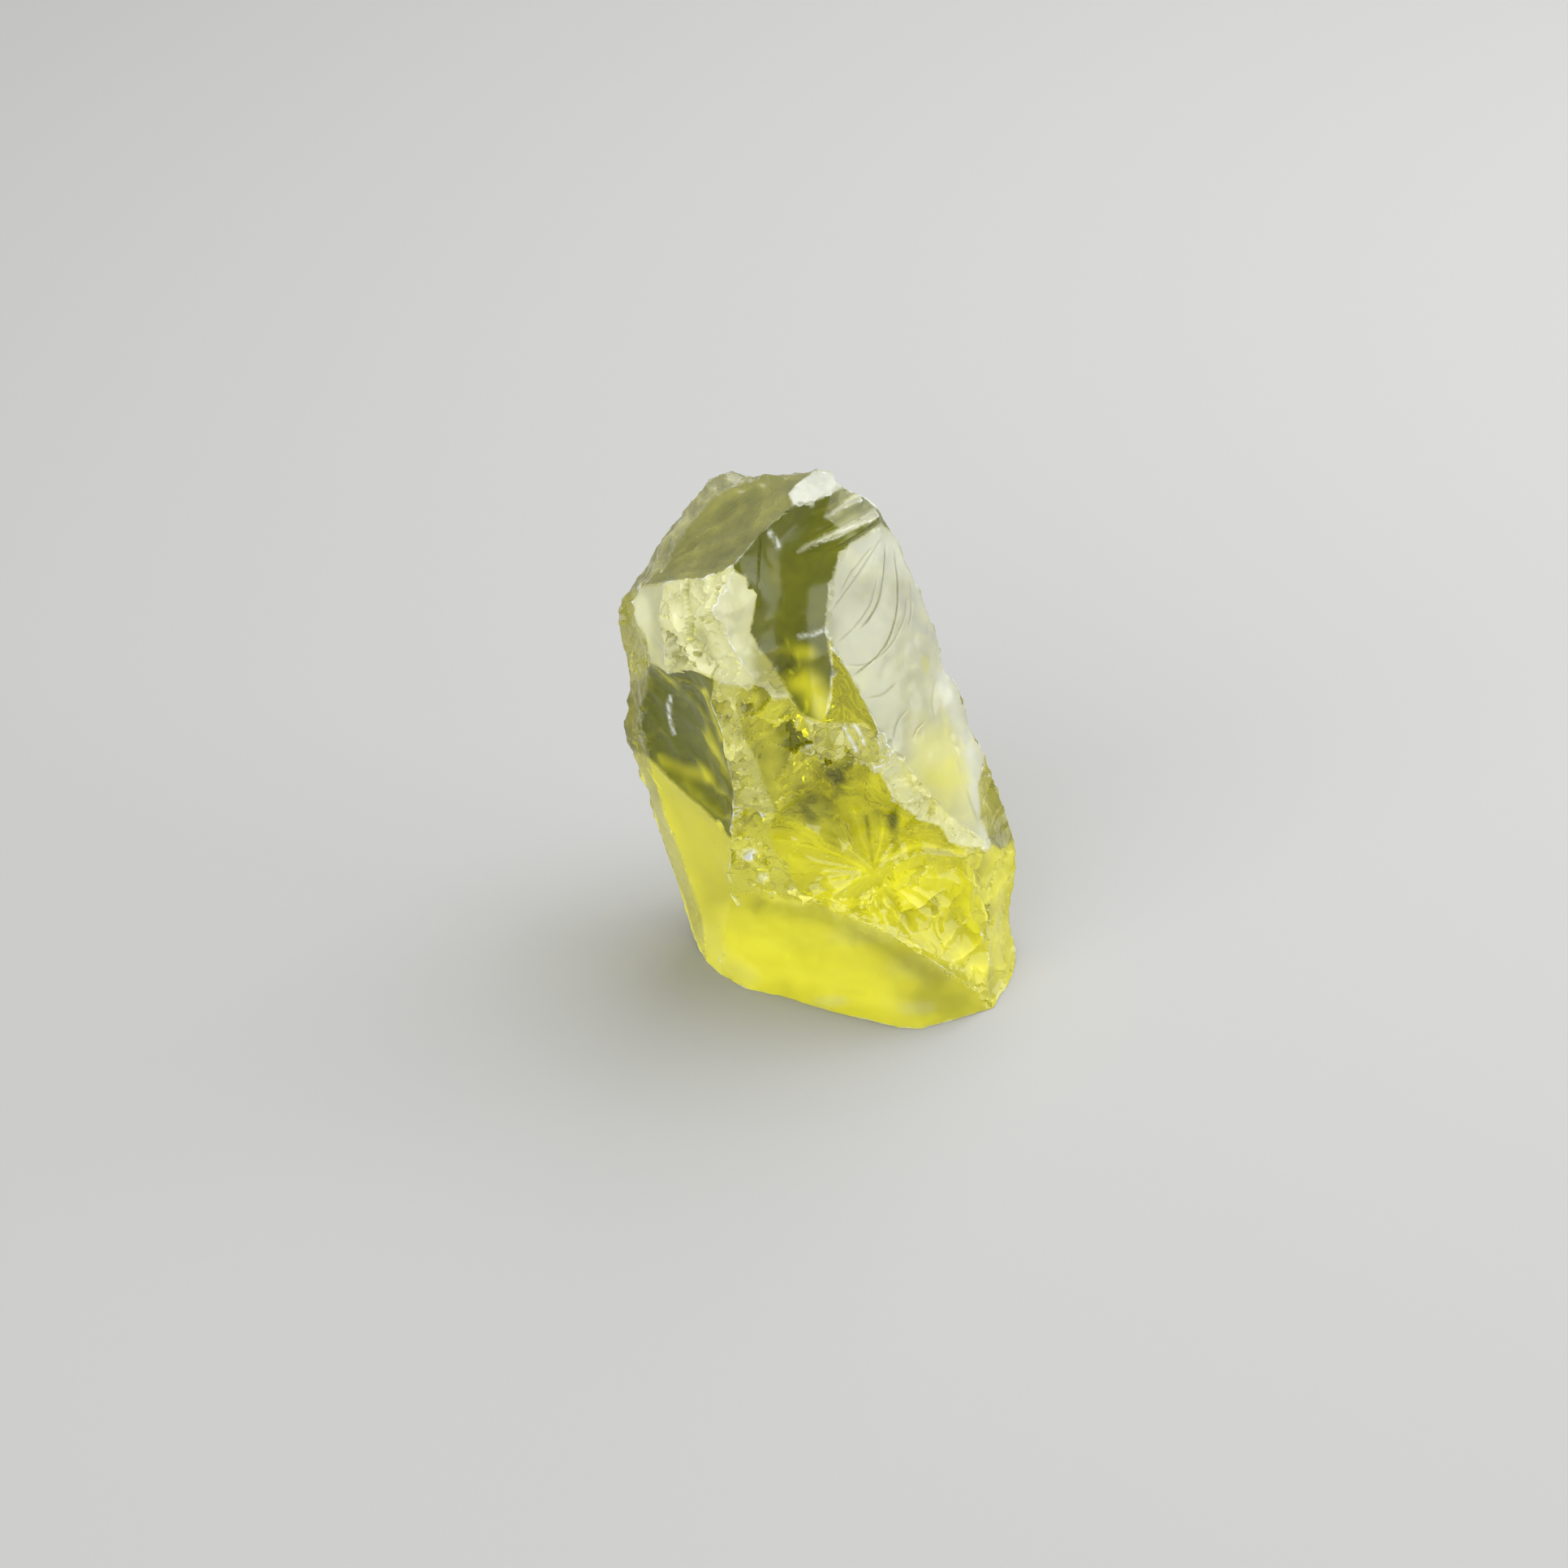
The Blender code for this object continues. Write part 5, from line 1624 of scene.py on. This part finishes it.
class StageSettings(bpy.types.PropertyGroup):
    floor_colour: colour_property(
        "Floor", "Colour of the floor", (0.40, 0.40, 0.395, 1.0)
    )
    sky: FloatProperty(name="Sky", description="Strength of the even light", default=0.32)
    key: FloatProperty(name="Key light", description="Power above", default=1.5, unit="POWER")
    side: FloatProperty(
        name="Side light", description="Power at the right", default=1.0, unit="POWER"
    )
    fill: FloatProperty(
        name="Fill light", description="Power in front, at the left", default=1.6, unit="POWER"
    )


class PRASIOLITE_OT_stone(bpy.types.Operator):
    """Make the broken stone with its chips and finish"""

    bl_idname = "prasiolite.stone"
    bl_label = "Stone"

    def execute(self, context):
        settings = context.scene.prasiolite_stone
        stone, shift = make_stone(settings)
        stone.data.materials.clear()
        stone.data.materials.append(stone_material(settings))
        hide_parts("prasiolite")
        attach(stone, "root")
        context.scene["view_shift"] = list(shift)
        return {"FINISHED"}


class PRASIOLITE_OT_stage(bpy.types.Operator):
    """Set the floor, the lights and the camera"""

    bl_idname = "prasiolite.stage"
    bl_label = "Stage"

    def execute(self, context):
        settings = context.scene.prasiolite_stage
        make_floor(settings)
        for name, (place, target, size) in LIGHTS.items():
            area_light(name, place, target, size, getattr(settings, name))
        world = bpy.data.worlds.new("sky")
        world.use_nodes = True
        sky = world.node_tree.nodes["Background"]
        sky.inputs["Color"].default_value = (1.0, 1.0, 1.0, 1.0)
        sky.inputs["Strength"].default_value = settings.sky
        context.scene.world = world
        make_camera(Vector(context.scene["view_shift"]))
        context.scene.view_settings.view_transform = "Standard"
        context.scene.cycles.max_bounces = BOUNCES
        context.scene.cycles.transmission_bounces = BOUNCES
        context.scene.cycles.glossy_bounces = GLOSSY_BOUNCES
        return {"FINISHED"}


class PRASIOLITE_PT_sidebar(bpy.types.Panel):
    bl_label = "Raw prasiolite"
    bl_idname = "PRASIOLITE_PT_sidebar"
    bl_space_type = "VIEW_3D"
    bl_region_type = "UI"
    bl_category = "Prasiolite"

    def draw(self, context):
        for group, operator in (("prasiolite_stone", "stone"), ("prasiolite_stage", "stage")):
            settings = getattr(context.scene, group)
            box = self.layout.box()
            for name in settings.bl_rna.properties.keys():
                if name not in {"rna_type", "name"}:
                    box.prop(settings, name)
            box.operator(f"prasiolite.{operator}")


CLASSES = (
    StoneSettings,
    StageSettings,
    PRASIOLITE_OT_stone,
    PRASIOLITE_OT_stage,
    PRASIOLITE_PT_sidebar,
)


def register():
    for each in CLASSES:
        bpy.utils.register_class(each)
    bpy.types.Scene.prasiolite_stone = PointerProperty(type=StoneSettings)
    bpy.types.Scene.prasiolite_stage = PointerProperty(type=StageSettings)


def unregister():
    del bpy.types.Scene.prasiolite_stage
    del bpy.types.Scene.prasiolite_stone
    for each in reversed(CLASSES):
        bpy.utils.unregister_class(each)


def main():
    register()
    bpy.ops.prasiolite.stone()
    bpy.ops.prasiolite.stage()


if __name__ == "__main__":
    main()
